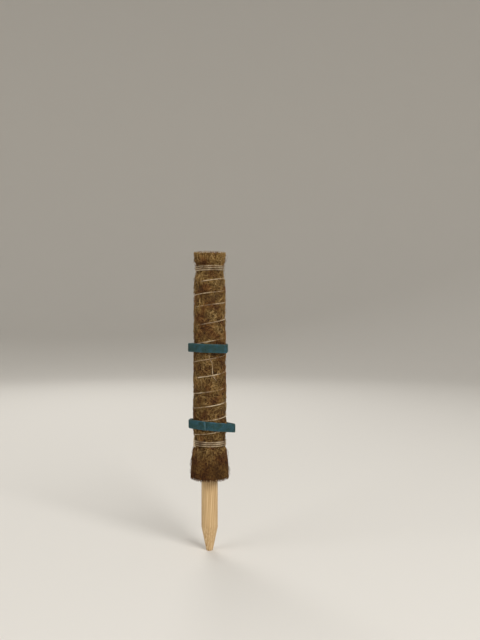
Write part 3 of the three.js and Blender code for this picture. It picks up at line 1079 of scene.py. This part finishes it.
def twisted(route, tone=1.0):
    """The plies of a thread along a route, whose points lie round the pole's axis."""
    plies = [[] for _ in range(PLIES)]
    for i, (p, travelled) in enumerate(zip(route, measured(route))):
        along = direction(route, i)
        away = Vector((p.x, p.y, 0))
        out = (away - along * away.dot(along)).normalized()
        side = along.cross(out)
        for k, ply in enumerate(plies):
            turn = 2 * math.pi * (travelled / PLY_PITCH + k / PLIES)
            ply.append(p + PLY_OFFSET * (out * math.cos(turn) + side * math.sin(turn)))
    return [(ply, PLY_THICKNESS, tone) for ply in plies]


print("thread:", PLIES, "plies,", round(2 * PLY_OFFSET + PLY_THICKNESS, 2), "mm across")

# %% [markdown]
# The thread starts and ends in a small overhand knot with a short tail. A trefoil is the same knot
# with its ends joined, and its formula is short. A loose length of thread also runs down the front,
# under the turns that hold it.

# %% Knots
KNOT_POINTS = 60
KNOT_SIZE = 0.52
KNOT_DEPTH = 1.1  # as a share of its size
KNOT_START = 0.35  # radians round the trefoil at which the thread comes in
KNOT_REACH = 2.2  # from the winding's end to the knot's middle
KNOT_LIFT = 0.9
KNOT_TAIL = 7.0
KNOT_TAIL_LEAN = 8  # degrees
KNOT_TAIL_LANDING = 0.6  # share of the tail that comes down to the felt


def knot_route(end, before, lean):
    """A trefoil at the thread's end, then a tail that stands up along the felt."""
    along = (end - before).normalized()
    out = Vector((end.x, end.y, 0)).normalized()
    up = out.cross(along)
    middle = end + along * KNOT_REACH + out * KNOT_LIFT
    route = []
    for i in range(KNOT_POINTS):
        t = KNOT_START + 2 * math.pi * i / KNOT_POINTS
        across = math.sin(t) + 2 * math.sin(2 * t)
        high = math.cos(t) - 2 * math.cos(2 * t)
        deep = -math.sin(3 * t)
        route.append(middle + KNOT_SIZE * (along * across + up * high + out * deep * KNOT_DEPTH))
    last = route[-1]
    steps = round(KNOT_TAIL / ROUTE_STEP)
    for i in range(1, steps):
        share = i / steps
        z = last.z + KNOT_TAIL * share
        landing = smoothstep(share, 0, KNOT_TAIL_LANDING)
        radius = lerp(last.xy.length, felt_radius(z) + THREAD_RADIUS, landing)
        route.append(polar(bearing(last) + lean * share, radius, z))
    return route


lower_route = knot_route(winding[0], winding[1], -KNOT_TAIL_LEAN)
upper_route = knot_route(winding[-1], winding[-2], KNOT_TAIL_LEAN)
print("thread in each knot:", round(measured(lower_route)[-1]), "mm")

# %% Loose length
TAIL_ROUTE = [(269, 168), (274, 159), (282, 152), (283, 140), (289, 134), (297, 130)]  # angle, height
TAIL_POINTS = 150
TAIL_DIP = 2 * THREAD_RADIUS + CLEARANCE
TAIL_DIP_REACH = 3.0
TAIL_TONE = 0.7  # duller than the wound thread


def spline_through(points, count):
    """Points along a smooth line through a few given ones."""
    made = []
    for i in range(count):
        at = i / (count - 1) * (len(points) - 1)
        k = min(int(at), len(points) - 2)
        p = [Vector(points[clamp(k + j, 0, len(points) - 1)]) for j in (-1, 0, 1, 2)]
        s = at - k
        a = 2 * p[1] + (p[2] - p[0]) * s
        b = (2 * p[0] - 5 * p[1] + 4 * p[2] - p[3]) * s**2
        c = (3 * p[1] - p[0] - 3 * p[2] + p[3]) * s**3
        made.append((a + b + c) / 2)
    return made


def tail_point(place):
    """The tail lies in the felt, and deeper where a turn crosses over it."""
    angle, z = place
    dip = 1.0 - smoothstep(from_turn(angle, z), 2 * THREAD_RADIUS, TAIL_DIP_REACH)
    return on_felt(angle, z, -THREAD_SINK - TAIL_DIP * dip)


loose_route = [tail_point(place) for place in spline_through(TAIL_ROUTE, TAIL_POINTS)]
print("loose length:", round(measured(loose_route)[-1]), "mm")

# %% [markdown]
# Undyed cotton is pale, and here it runs through darker, browner patches. The patches are noise in
# the space round the pole, because a map along the thread would show them at a different size on
# every piece of it. The tone of a strand dulls the loose length and the fibres: partly dust, and
# partly a painted shade where they lie low in the felt and between the turns.

# %% Thread material
THREAD_PATCH_SIZE = 14.0


def cotton_thread():
    """Undyed cotton thread: matt and pale, with browner patches, dulled by dust and painted shade where its
    tone is low.
    """
    material, tree, shader = new_material("cotton_thread", Roughness=0.8, IOR=1.5, Sheen_Weight=0.25)
    place = add_node(tree, "TexCoord").outputs["Object"]
    thread_patches = add_node(tree, "TexNoise", {"Vector": place, "Scale": 1 / (THREAD_PATCH_SIZE * MM), "Detail": 3.0})
    tone = add_node(tree, "Attribute", attribute_name="tone").outputs["Fac"]
    layers = [
        (thread_patches, [(0.34, "#7d6546"), (0.46, "#b09772"), (0.58, "#d0ba96"), (0.68, "#e4d2b2")]),
        # a low tone dulls the strand: partly dust, partly painted shade where it lies low
        (tone, [(0.0, "#7c6c58"), (1.0, "#ffffff")]),
    ]
    feed(shader, {"Base Color": layered(tree, layers)})
    return material


cotton = cotton_thread()
wound_thread = add_piece("wound_thread", strand_mesh("wound_thread", twisted(winding)), cotton)
start_knot = add_piece("start_knot", strand_mesh("start_knot", twisted(lower_route)), cotton)
end_knot = add_piece("end_knot", strand_mesh("end_knot", twisted(upper_route)), cotton)
loose_mesh = strand_mesh("loose_thread", twisted(loose_route, TAIL_TONE))
loose_thread = add_piece("loose_thread", loose_mesh, cotton)

# %% [markdown]
# Cotton thread is spun from short fibres, and some work loose. In the bindings they lie in the gaps
# from turn to turn, so that from a distance the turns run together into one pale band.

# %% Loose fibres
FIBRE_POINTS = 7
FIBRE_LENGTH = (7, 14)
FIBRE_THICKNESS = (0.12, 0.2)
FIBRE_TONE = (0.1, 0.8)
FIBRE_STRETCHES = (
    # number of fibres, first and last point of the winding, how far they stray, how high they lie
    (340, 0, base_end, 1.3, (-0.8, 0.1)),
    (340, top_start, len(winding), 1.3, (-0.8, 0.1)),
    (380, base_end, top_start, 0.9, (0.0, 0.45)),
)


def loose_fibre(first, last, spread, lift):
    """A fibre beside a stretch of the thread, between two of its points."""
    steps = round(draw.uniform(*FIBRE_LENGTH) / ROUTE_STEP)
    start = draw.randrange(first, last - steps)
    strays = [draw.uniform(-spread, spread) for _ in range(2)]
    lifts = [draw.uniform(*lift) for _ in range(2)]
    points = []
    for i in range(FIBRE_POINTS):
        share = i / (FIBRE_POINTS - 1)
        p = winding[start + round(steps * share)]
        out = Vector((p.x, p.y, 0)).normalized()
        points.append(p + out * lerp(*lifts, share) + Vector((0, 0, lerp(*strays, share))))
    return points, draw.uniform(*FIBRE_THICKNESS), draw.uniform(*FIBRE_TONE)


fibres = [loose_fibre(*stretch) for count, *stretch in FIBRE_STRETCHES for _ in range(count)]
thread_fibres = add_piece("thread_fibres", strand_mesh("thread_fibres", fibres), cotton)

# %% [markdown]
# ## The ties
# A tie is a strip of hook tape: a thin nylon base with rows of tiny hooks moulded on its outside,
# and a soft back. It goes once round the pole and closes on its own start. The base is a ribbon
# extruded from a path and given its thickness by Solidify, which can also give the inner side its
# own finish, the soft back. Each hook is a small T, and one T is copied along the rows.

# %% Tie path
TIE_OVERLAP = 30.0
TIE_STEP = 5.0  # degrees
TIE_LIFT_ANGLE = 20.0  # over which its outer end is lifted onto its start
TAPE_BACK = 0.15  # depth of the soft back


def tie_path(tie):
    """Points along the tie's inside, with the lift of its outer end onto its start."""
    circles = tie["circles"]
    start = tie["end_angle"]
    covered = 0.0
    while covered < TIE_OVERLAP:
        here = belt_point(circles, start, TIE_THICKNESS)
        start -= TIE_STEP
        covered += (here - belt_point(circles, start, TIE_THICKNESS)).length
    lifted = start + 360.0 - TIE_STEP
    points = []
    count = round((tie["end_angle"] + 360.0 - start) / (TIE_STEP / 2))
    for i in range(count + 1):
        angle = lerp(start, tie["end_angle"] + 360.0, i / count)
        lift = (TIE_THICKNESS + CLEARANCE) * smoothstep(angle, lifted - TIE_LIFT_ANGLE, lifted)
        points.append(belt_point(circles, angle, TAPE_BACK + lift))
    return points


tape_lengths = {name: round(measured(tie_path(tie))[-1]) for name, tie in TIES.items()}
print("tape in each tie:", tape_lengths, "mm")

# %% Steps along the tape, and its loose end
PATH_STEP = 1.2
END_STEP = 0.25  # between the points of a rounded end
END_ROUNDING = 2.0  # radius of the corners of a strip's ends
PEEL_LENGTH = 9.0
PEEL_HEIGHT = 1.9


def span_at(along, place):
    """The number of the point that a place along a path comes after."""
    return bisect.bisect_left(along, place, 1) - 1


def even_steps(points):
    """The same path with points at even steps, and at finer ones near its two ends."""
    along = measured(points)
    places = [0.0]
    while along[-1] - places[-1] > END_STEP:
        from_end = min(places[-1], along[-1] - places[-1])
        places.append(places[-1] + (END_STEP if from_end < END_ROUNDING + PATH_STEP else PATH_STEP))
    places[-1] = along[-1]
    stepped = []
    for place in places:
        k = span_at(along, place)
        stepped.append(points[k].lerp(points[k + 1], (place - along[k]) / (along[k + 1] - along[k])))
    return stepped


def peel(points, along):
    """Lets the last few millimetres of the outer end stand away a little."""
    raised = []
    for i, point in enumerate(points):
        share = smoothstep(along[i], along[-1] - PEEL_LENGTH, along[-1])
        way = direction(points, i)
        raised.append(point + PEEL_HEIGHT * share * Vector((way.y, -way.x)))
    return raised


print("the tape's loose end stands", PEEL_HEIGHT, "mm away")

# %% Tie ribbon
TAPE_BASE = 0.75
TAPE_ROWS = 8
COLUMN_DIGITS = 4


def half_width(from_end):
    """Half of a strip's width at a distance from its nearer end, whose corners are rounded."""
    cut = max(END_ROUNDING - from_end, 0.0)
    return TIE_WIDTH / 2 - END_ROUNDING + math.sqrt(END_ROUNDING**2 - cut**2)


def tape_place(tie, point, height):
    """Where a point of the flat-lying tape comes to rest: a tilted tie slopes across the pole."""
    return Vector((point.x, point.y, tie["height"] + height - tie_fall(tie, point)))


def column(vert):
    """What the vertices above one another share: their place seen from above."""
    return round(vert.co.x, COLUMN_DIGITS), round(vert.co.y, COLUMN_DIGITS)


def tie_ribbon(name, tie):
    """A tie's mesh, with the path that it follows and the distances along it."""
    points = even_steps(tie_path(tie))
    along = measured(points)
    points = peel(points, along)
    ribbon = bmesh.new()
    # the ribbon runs from -1 to 1 in height until each column's own half width is known
    line = [ribbon.verts.new((p.x, p.y, -1.0)) for p in points]
    where = {column(v): s for v, s in zip(line, along)}
    edges = [ribbon.edges.new(pair) for pair in zip(line, line[1:])]
    grown = bmesh.ops.extrude_edge_only(ribbon, edges=edges)["geom"]
    top = [v for v in grown if isinstance(v, bmesh.types.BMVert)]
    bmesh.ops.translate(ribbon, verts=top, vec=(0, 0, 2.0))
    uprights = [e for e in ribbon.edges if e.verts[0].co.z != e.verts[1].co.z]
    bmesh.ops.subdivide_edges(ribbon, edges=uprights, cuts=TAPE_ROWS - 1)
    # faces have to point away from the pole, which is the way that Solidify thickens them
    first = min(ribbon.faces, key=lambda f: (f.calc_center_median().xy - points[1]).length)
    if first.normal.dot(first.calc_center_median()) < 0:
        bmesh.ops.reverse_faces(ribbon, faces=ribbon.faces)
    uv = ribbon.loops.layers.uv.new("tape_mm")
    place = {v: where[column(v)] for v in ribbon.verts}
    height = {v: v.co.z * half_width(min(s, along[-1] - s)) for v, s in place.items()}
    for face in ribbon.faces:
        for loop in face.loops:
            loop[uv].uv = (place[loop.vert] - along[-1], height[loop.vert])
    for v in ribbon.verts:
        v.co = tape_place(tie, v.co.xy, height[v])
    return to_mesh(name, ribbon), points, along


print("tape:", TIE_WIDTH, "mm wide, and", 2 * half_width(0.0), "mm at the tips of its rounded ends")

# %% Hooks
HOOK_PITCH = 1.3
HOOK_ROW_GAP = 1.06
HOOK_ROWS = 9
HOOK_WIDTH = 0.46
HALF_PROFILE = [(0.15, -0.05), (0.15, 0.24), (0.38, 0.24), (0.3, 0.45)]  # from its foot to its top
HOOK_PROFILE = HALF_PROFILE + [(-x, y) for x, y in reversed(HALF_PROFILE)]
SEALED_END = 1.2  # length that the hot knife melted smooth when the tape was cut


def hook_template():
    """A moulded T: its profile runs along the tape and is pushed across it."""
    shape = bmesh.new()
    profile = [shape.verts.new((x, -HOOK_WIDTH / 2, y)) for x, y in HOOK_PROFILE]
    face = shape.faces.new(profile)
    pushed = bmesh.ops.extrude_face_region(shape, geom=[face])["geom"]
    moved = [v for v in pushed if isinstance(v, bmesh.types.BMVert)]
    bmesh.ops.translate(shape, verts=moved, vec=(0, HOOK_WIDTH, 0))
    bmesh.ops.recalc_face_normals(shape, faces=shape.faces)
    return to_mesh("hook", shape, 1.0)


def hook_rows(name, tie, points, along):
    """The hooks of one tie, each column half a pitch on from the last."""
    template = hook_template()
    rows = bmesh.new()
    margins = HOOK_PITCH + SEALED_END + HOOK_PITCH / 2
    for number in range(math.ceil((along[-1] - margins) / (HOOK_PITCH / 2))):
        at = HOOK_PITCH + number * HOOK_PITCH / 2
        k = span_at(along, at)
        way = (points[k + 1] - points[k]).normalized()
        out = Vector((way.y, -way.x))
        point = points[k] + way * (at - along[k]) + out * TAPE_BASE
        axis = Vector((way.x, way.y, -tie_fall(tie, way))).normalized()
        outward = out.to_3d()
        turn = Matrix((axis, outward.cross(axis), outward)).transposed().to_4x4()
        for row in range(number % 2, 2 * HOOK_ROWS, 2):
            height = (row - HOOK_ROWS + 0.5) * HOOK_ROW_GAP / 2
            # the one template is moved to each place, added there and moved back
            matrix = Matrix.Translation(tape_place(tie, point, height)) @ turn
            template.transform(matrix)
            rows.from_mesh(template)
            template.transform(matrix.inverted())
    bpy.data.meshes.remove(template)
    return to_mesh(name, rows)


print("a hook is", HOOK_WIDTH, "mm wide and", max(y for _, y in HOOK_PROFILE), "mm high")

# %% [markdown]
# All of the tape is dyed nylon, but its three parts were made in three ways. The base is woven, and
# a hot knife sealed its end, which is painted paler: partly the melted seal, partly a painted
# highlight on the cut end. The hooks are moulded, and the back is brushed into a nap. The base and
# the back read a map in millimetres along the strip, so that their patterns bend with it.
# A hook is too small to show a pattern, and only takes the painted reflection of its place.

# %% Material of the tape's base
WEAVE_PITCH = 0.7
REFLECTION_PATCH_SIZE = 8.0  # of the patches of painted reflection on the tape
SEALED_BLEND = 0.4  # length over which the woven base turns into the sealed end
WAVE_RADIANS = 20  # that a wave texture turns in one unit of length, at a scale of 1


def wave_scale(spacing):
    """The scale at which the bands of a wave texture are this far apart."""
    return 2 * math.pi / (WAVE_RADIANS * spacing)


def nylon_tape():
    """Dyed nylon hook tape: a dull satin, with the fine ribs of its woven base and patches of painted
    reflection.
    """
    material, tree, shader = new_material("nylon_tape", Roughness=0.6, IOR=1.53)
    tape = add_node(tree, "UVMap", uv_map="tape_mm")
    weave = {"Vector": tape, "Scale": wave_scale(WEAVE_PITCH), "Distortion": 0.6, "Detail": 1.0}
    ribs = add_node(tree, "TexWave", weave, bands_direction="X").outputs["Fac"]
    reflection_patches = {"Vector": tape, "Scale": 1 / REFLECTION_PATCH_SIZE, "Detail": 2.0}
    painted_reflection = add_node(tree, "TexNoise", reflection_patches, noise_dimensions="2D")
    # teal dye, turning blue in patches of painted reflection
    shades = [(0.3, "#173a38"), (0.5, "#1c4544"), (0.68, "#245465")]
    dyed = add_node(tree, "ValToRGB", {"Fac": painted_reflection}, shades)
    from_end = add_node(tree, "SeparateXYZ", {"Vector": tape}).outputs["X"]
    # the sealed end is painted paler: partly the melted seal, partly a painted highlight on the cut end
    melted = {"Value": from_end, "From Min": -SEALED_END, "From Max": SEALED_BLEND - SEALED_END}
    sealed = add_node(tree, "MapRange", melted)
    colour = add_node(tree, "Mix", {0: sealed, 6: dyed, 7: linear("#39575d")}, data_type="RGBA")
    bump = add_node(tree, "Bump", {"Height": ribs, "Strength": 0.5, "Distance": 0.15 * MM})
    feed(shader, {"Base Color": colour.outputs[2], "Normal": bump})
    return material


tape_nylon = nylon_tape()
print("ribs of the weave:", WEAVE_PITCH, "mm apart")


# %% Material of the hooks
def nylon_hooks():
    """The same nylon, moulded: a little glossier, and painted a shade paler for the light that gets through
    the thin hooks.
    """
    material, tree, shader = new_material("nylon_hooks", Roughness=0.5, IOR=1.53)
    place = add_node(tree, "TexCoord").outputs["Object"]
    painted_reflection = add_node(tree, "TexNoise", {"Vector": place, "Scale": 1 / (REFLECTION_PATCH_SIZE * MM), "Detail": 2.0})
    # the hooks take the same patches of painted reflection as the base
    shades = [(0.3, "#1a3d3b"), (0.5, "#204a48"), (0.68, "#28596b")]
    feed(shader, {"Base Color": add_node(tree, "ValToRGB", {"Fac": painted_reflection}, shades)})
    return material


hook_nylon = nylon_hooks()
# the faded parts are the patches of painted reflection
print("faded parts:", REFLECTION_PATCH_SIZE, "mm across")

# %% Material of the soft back
LOOP_SIZE = 0.8  # coarser than a real loop, so that it shows


def brushed_loops():
    """The tape's soft back: nylon loops brushed into a nap, which has no shine and looks mottled."""
    material, tree, shader = new_material("brushed_loops", Roughness=0.95, IOR=1.53, Sheen_Weight=0.3)
    tape = add_node(tree, "UVMap", uv_map="tape_mm")
    loops = {"Vector": tape, "Scale": 1 / LOOP_SIZE, "Detail": 3.0, "Distortion": 1.0}
    nap = add_node(tree, "TexNoise", loops, noise_dimensions="2D")
    colour = add_node(tree, "ValToRGB", {"Fac": nap}, [(0.35, "#153634"), (0.65, "#2d5f66")])
    bump = add_node(tree, "Bump", {"Height": nap, "Strength": 0.8, "Distance": 0.3 * MM})
    feed(shader, {"Base Color": colour, "Normal": bump})
    return material


loop_nylon = brushed_loops()
print("loops:", LOOP_SIZE, "mm across")

# %% Build the ties
TAPE_EDGE = 0.2  # radius of its edges
HOOK_SHARP = 20  # degrees
tie_pieces = {}
for node_name, tie in TIES.items():
    mesh, points, along = tie_ribbon(node_name + "_tape", tie)
    tape = add_piece(node_name + "_tape", mesh, tape_nylon)
    wall = tape.modifiers.new("tape thickness", "SOLIDIFY")
    wall.thickness = TAPE_BASE * MM
    wall.offset = 1.0
    wall.material_offset = 1  # the inner side of the wall shows the soft back
    tape.data.materials.append(loop_nylon)
    rounding = tape.modifiers.new("soft edges", "BEVEL")
    rounding.width = TAPE_EDGE * MM
    rounding.segments = 2
    rounding.limit_method = "ANGLE"
    hook_mesh = hook_rows(node_name + "_hooks", tie, points, along)
    hooks = add_piece(node_name + "_hooks", hook_mesh, hook_nylon, HOOK_SHARP)
    tie_pieces[node_name] = (tape, hooks)

# %% [markdown]
# ## The wooden core
# The core is a turned softwood dowel. Its lower end is the stake, whittled to a blunt point with
# flat cuts, and its upper end is sawn square. A cylinder is cut by planes, as the knife cuts it,
# and its edges are bevelled.

# %% Core
CORE_SIDES = 96
STAKE_LENGTH = 100.0
POINT_LENGTH = 36.0
POINT_TIP_RADIUS = 4.0
POINT_CUTS = 8
CUT_TURN = 2.0  # degrees that a cut may be off its place round the stake
CUT_SHIFT = 0.8  # how much higher a cut may start than the next
TURN_RHYTHM = 2.4  # radians from cut to cut, so that no two are off by the same
SHIFT_RHYTHM = 1.7
EDGE_SOFTNESS = 0.4
EDGE_ANGLE = 8  # degrees at which two faces meet in an edge
core_top = FELT_LENGTH + CORE_PROUD


def whittle(core):
    """Cuts the point, one flat after another, each a little off its place."""
    slope = math.atan2(CORE_RADIUS - POINT_TIP_RADIUS, POINT_LENGTH)
    shoulder = POINT_LENGTH - STAKE_LENGTH
    for i in range(POINT_CUTS):
        angle = 360.0 * (i + 0.5) / POINT_CUTS + CUT_TURN * math.sin(TURN_RHYTHM * i)
        start = shoulder - CUT_SHIFT * (1.0 + math.sin(SHIFT_RHYTHM * i))
        cut = bmesh.ops.bisect_plane(
            core,
            geom=core.verts[:] + core.edges[:] + core.faces[:],
            plane_co=polar(angle, CORE_RADIUS, start),
            plane_no=polar(angle, math.cos(slope), -math.sin(slope)),
            clear_outer=True,
        )
        rim = [e for e in cut["geom_cut"] if isinstance(e, bmesh.types.BMEdge)]
        bmesh.ops.contextual_create(core, geom=rim)
    bmesh.ops.recalc_face_normals(core, faces=core.faces)


def core_mesh():
    """The dowel with its whittled point, its edges a little worn."""
    core = bmesh.new()
    size = {"radius1": CORE_RADIUS, "radius2": CORE_RADIUS, "depth": core_top + STAKE_LENGTH}
    bmesh.ops.create_cone(core, cap_ends=True, segments=CORE_SIDES, **size)
    bmesh.ops.translate(core, verts=core.verts, vec=(0, 0, (core_top - STAKE_LENGTH) / 2))
    whittle(core)
    bmesh.ops.bevel(
        core,
        geom=[e for e in core.edges if e.calc_face_angle(0.0) > math.radians(EDGE_ANGLE)],
        offset=EDGE_SOFTNESS,
        offset_type="OFFSET",
        affect="EDGES",
        segments=2,
        profile=0.5,
        material=-1,
        clamp_overlap=True,
    )
    return to_mesh("dowel", core)


print("core:", round(core_top + STAKE_LENGTH), "mm long")

# %% [markdown]
# Pine shows pale early wood and darker late wood in each year's ring. A picture of planks would
# need a map with seams, and its lines wouldn't meet those on the sawn end. Rings in the space round
# the pith, which lay beside the dowel, give the arcs on the end and the lines up the side at once.
# Fine fibres along the grain are multiplied onto them and raise the surface a little.

# %% Wood material
RING_SPACING = 2.2
PITH = (9.0, 6.0, 0.0)  # the dowel was turned from beside the middle of the trunk
PITH_LEAN = (0.02, 0.03, 0.0)  # radians
GRAIN_LENGTH = 40.0
GRAIN_WIDTH = 0.7  # coarser than real fibres, so that they show
WOOD_SHARP = 12  # degrees


def turned_pine():
    """Bare turned pine: matt, pale early wood between darker late-wood lines that run up the stake."""
    material, tree, shader = new_material("turned_pine", Roughness=0.62, IOR=1.5)
    place = add_node(tree, "TexCoord").outputs["Object"]
    pith = {"Vector": place, "Location": [x * MM for x in PITH], "Rotation": PITH_LEAN}
    growth = {
        "Vector": add_node(tree, "Mapping", pith),
        "Scale": wave_scale(RING_SPACING * MM),
        "Distortion": 0.8,
        "Detail": 1.0,
        "Detail Scale": 0.3,
    }
    rings = add_node(tree, "TexWave", growth, wave_type="RINGS", rings_direction="Z", wave_profile="SAW")
    grain = [1 / (size * MM) for size in (GRAIN_WIDTH, GRAIN_WIDTH, GRAIN_LENGTH)]
    stretched = add_node(tree, "Mapping", {"Vector": place, "Scale": grain})
    fibres = add_node(tree, "TexNoise", {"Vector": stretched, "Scale": 1.0, "Detail": 3.0})
    layers = [
        (rings.outputs["Fac"], [(0.0, "#dcc197"), (0.55, "#d3b585"), (0.85, "#b98f5b"), (1.0, "#cfae7c")]),
        (fibres, [(0.3, "#d9cbb8"), (0.6, "#ffffff")]),
    ]
    bump = add_node(tree, "Bump", {"Height": fibres, "Strength": 0.35, "Distance": 0.2 * MM})
    feed(shader, {"Base Color": layered(tree, layers), "Normal": bump})
    return material


dowel = add_piece("dowel", core_mesh(), turned_pine(), WOOD_SHARP)

# %% [markdown]
# ## What rides on what
# Each piece is attached to the body that it moves with, and the solids of the frame that the pieces
# stand for are hidden. The two ties slide, and everything else stays with the pole. The felt is the
# one piece that gives when it is pressed.

# %% Ride and replace
POLE_PIECES = {
    "wood": [dowel],
    "coir": [felt_roll, *hair_pieces],
    "thread": [wound_thread, start_knot, end_knot, loose_thread, thread_fibres],
}
for slot_name, pieces in POLE_PIECES.items():
    for piece in pieces:
        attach(piece, "pole")
for node_name, pieces in tie_pieces.items():
    for piece in pieces:
        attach(piece, node_name + "_loop")
        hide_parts(node_name)
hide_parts("wooden_core")
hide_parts("coir_felt")
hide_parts("winding_thread")
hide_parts("lower_knot")
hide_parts("upper_knot")
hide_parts("thread_tail")
print("pieces on the pole:", {slot_name: len(pieces) for slot_name, pieces in POLE_PIECES.items()})
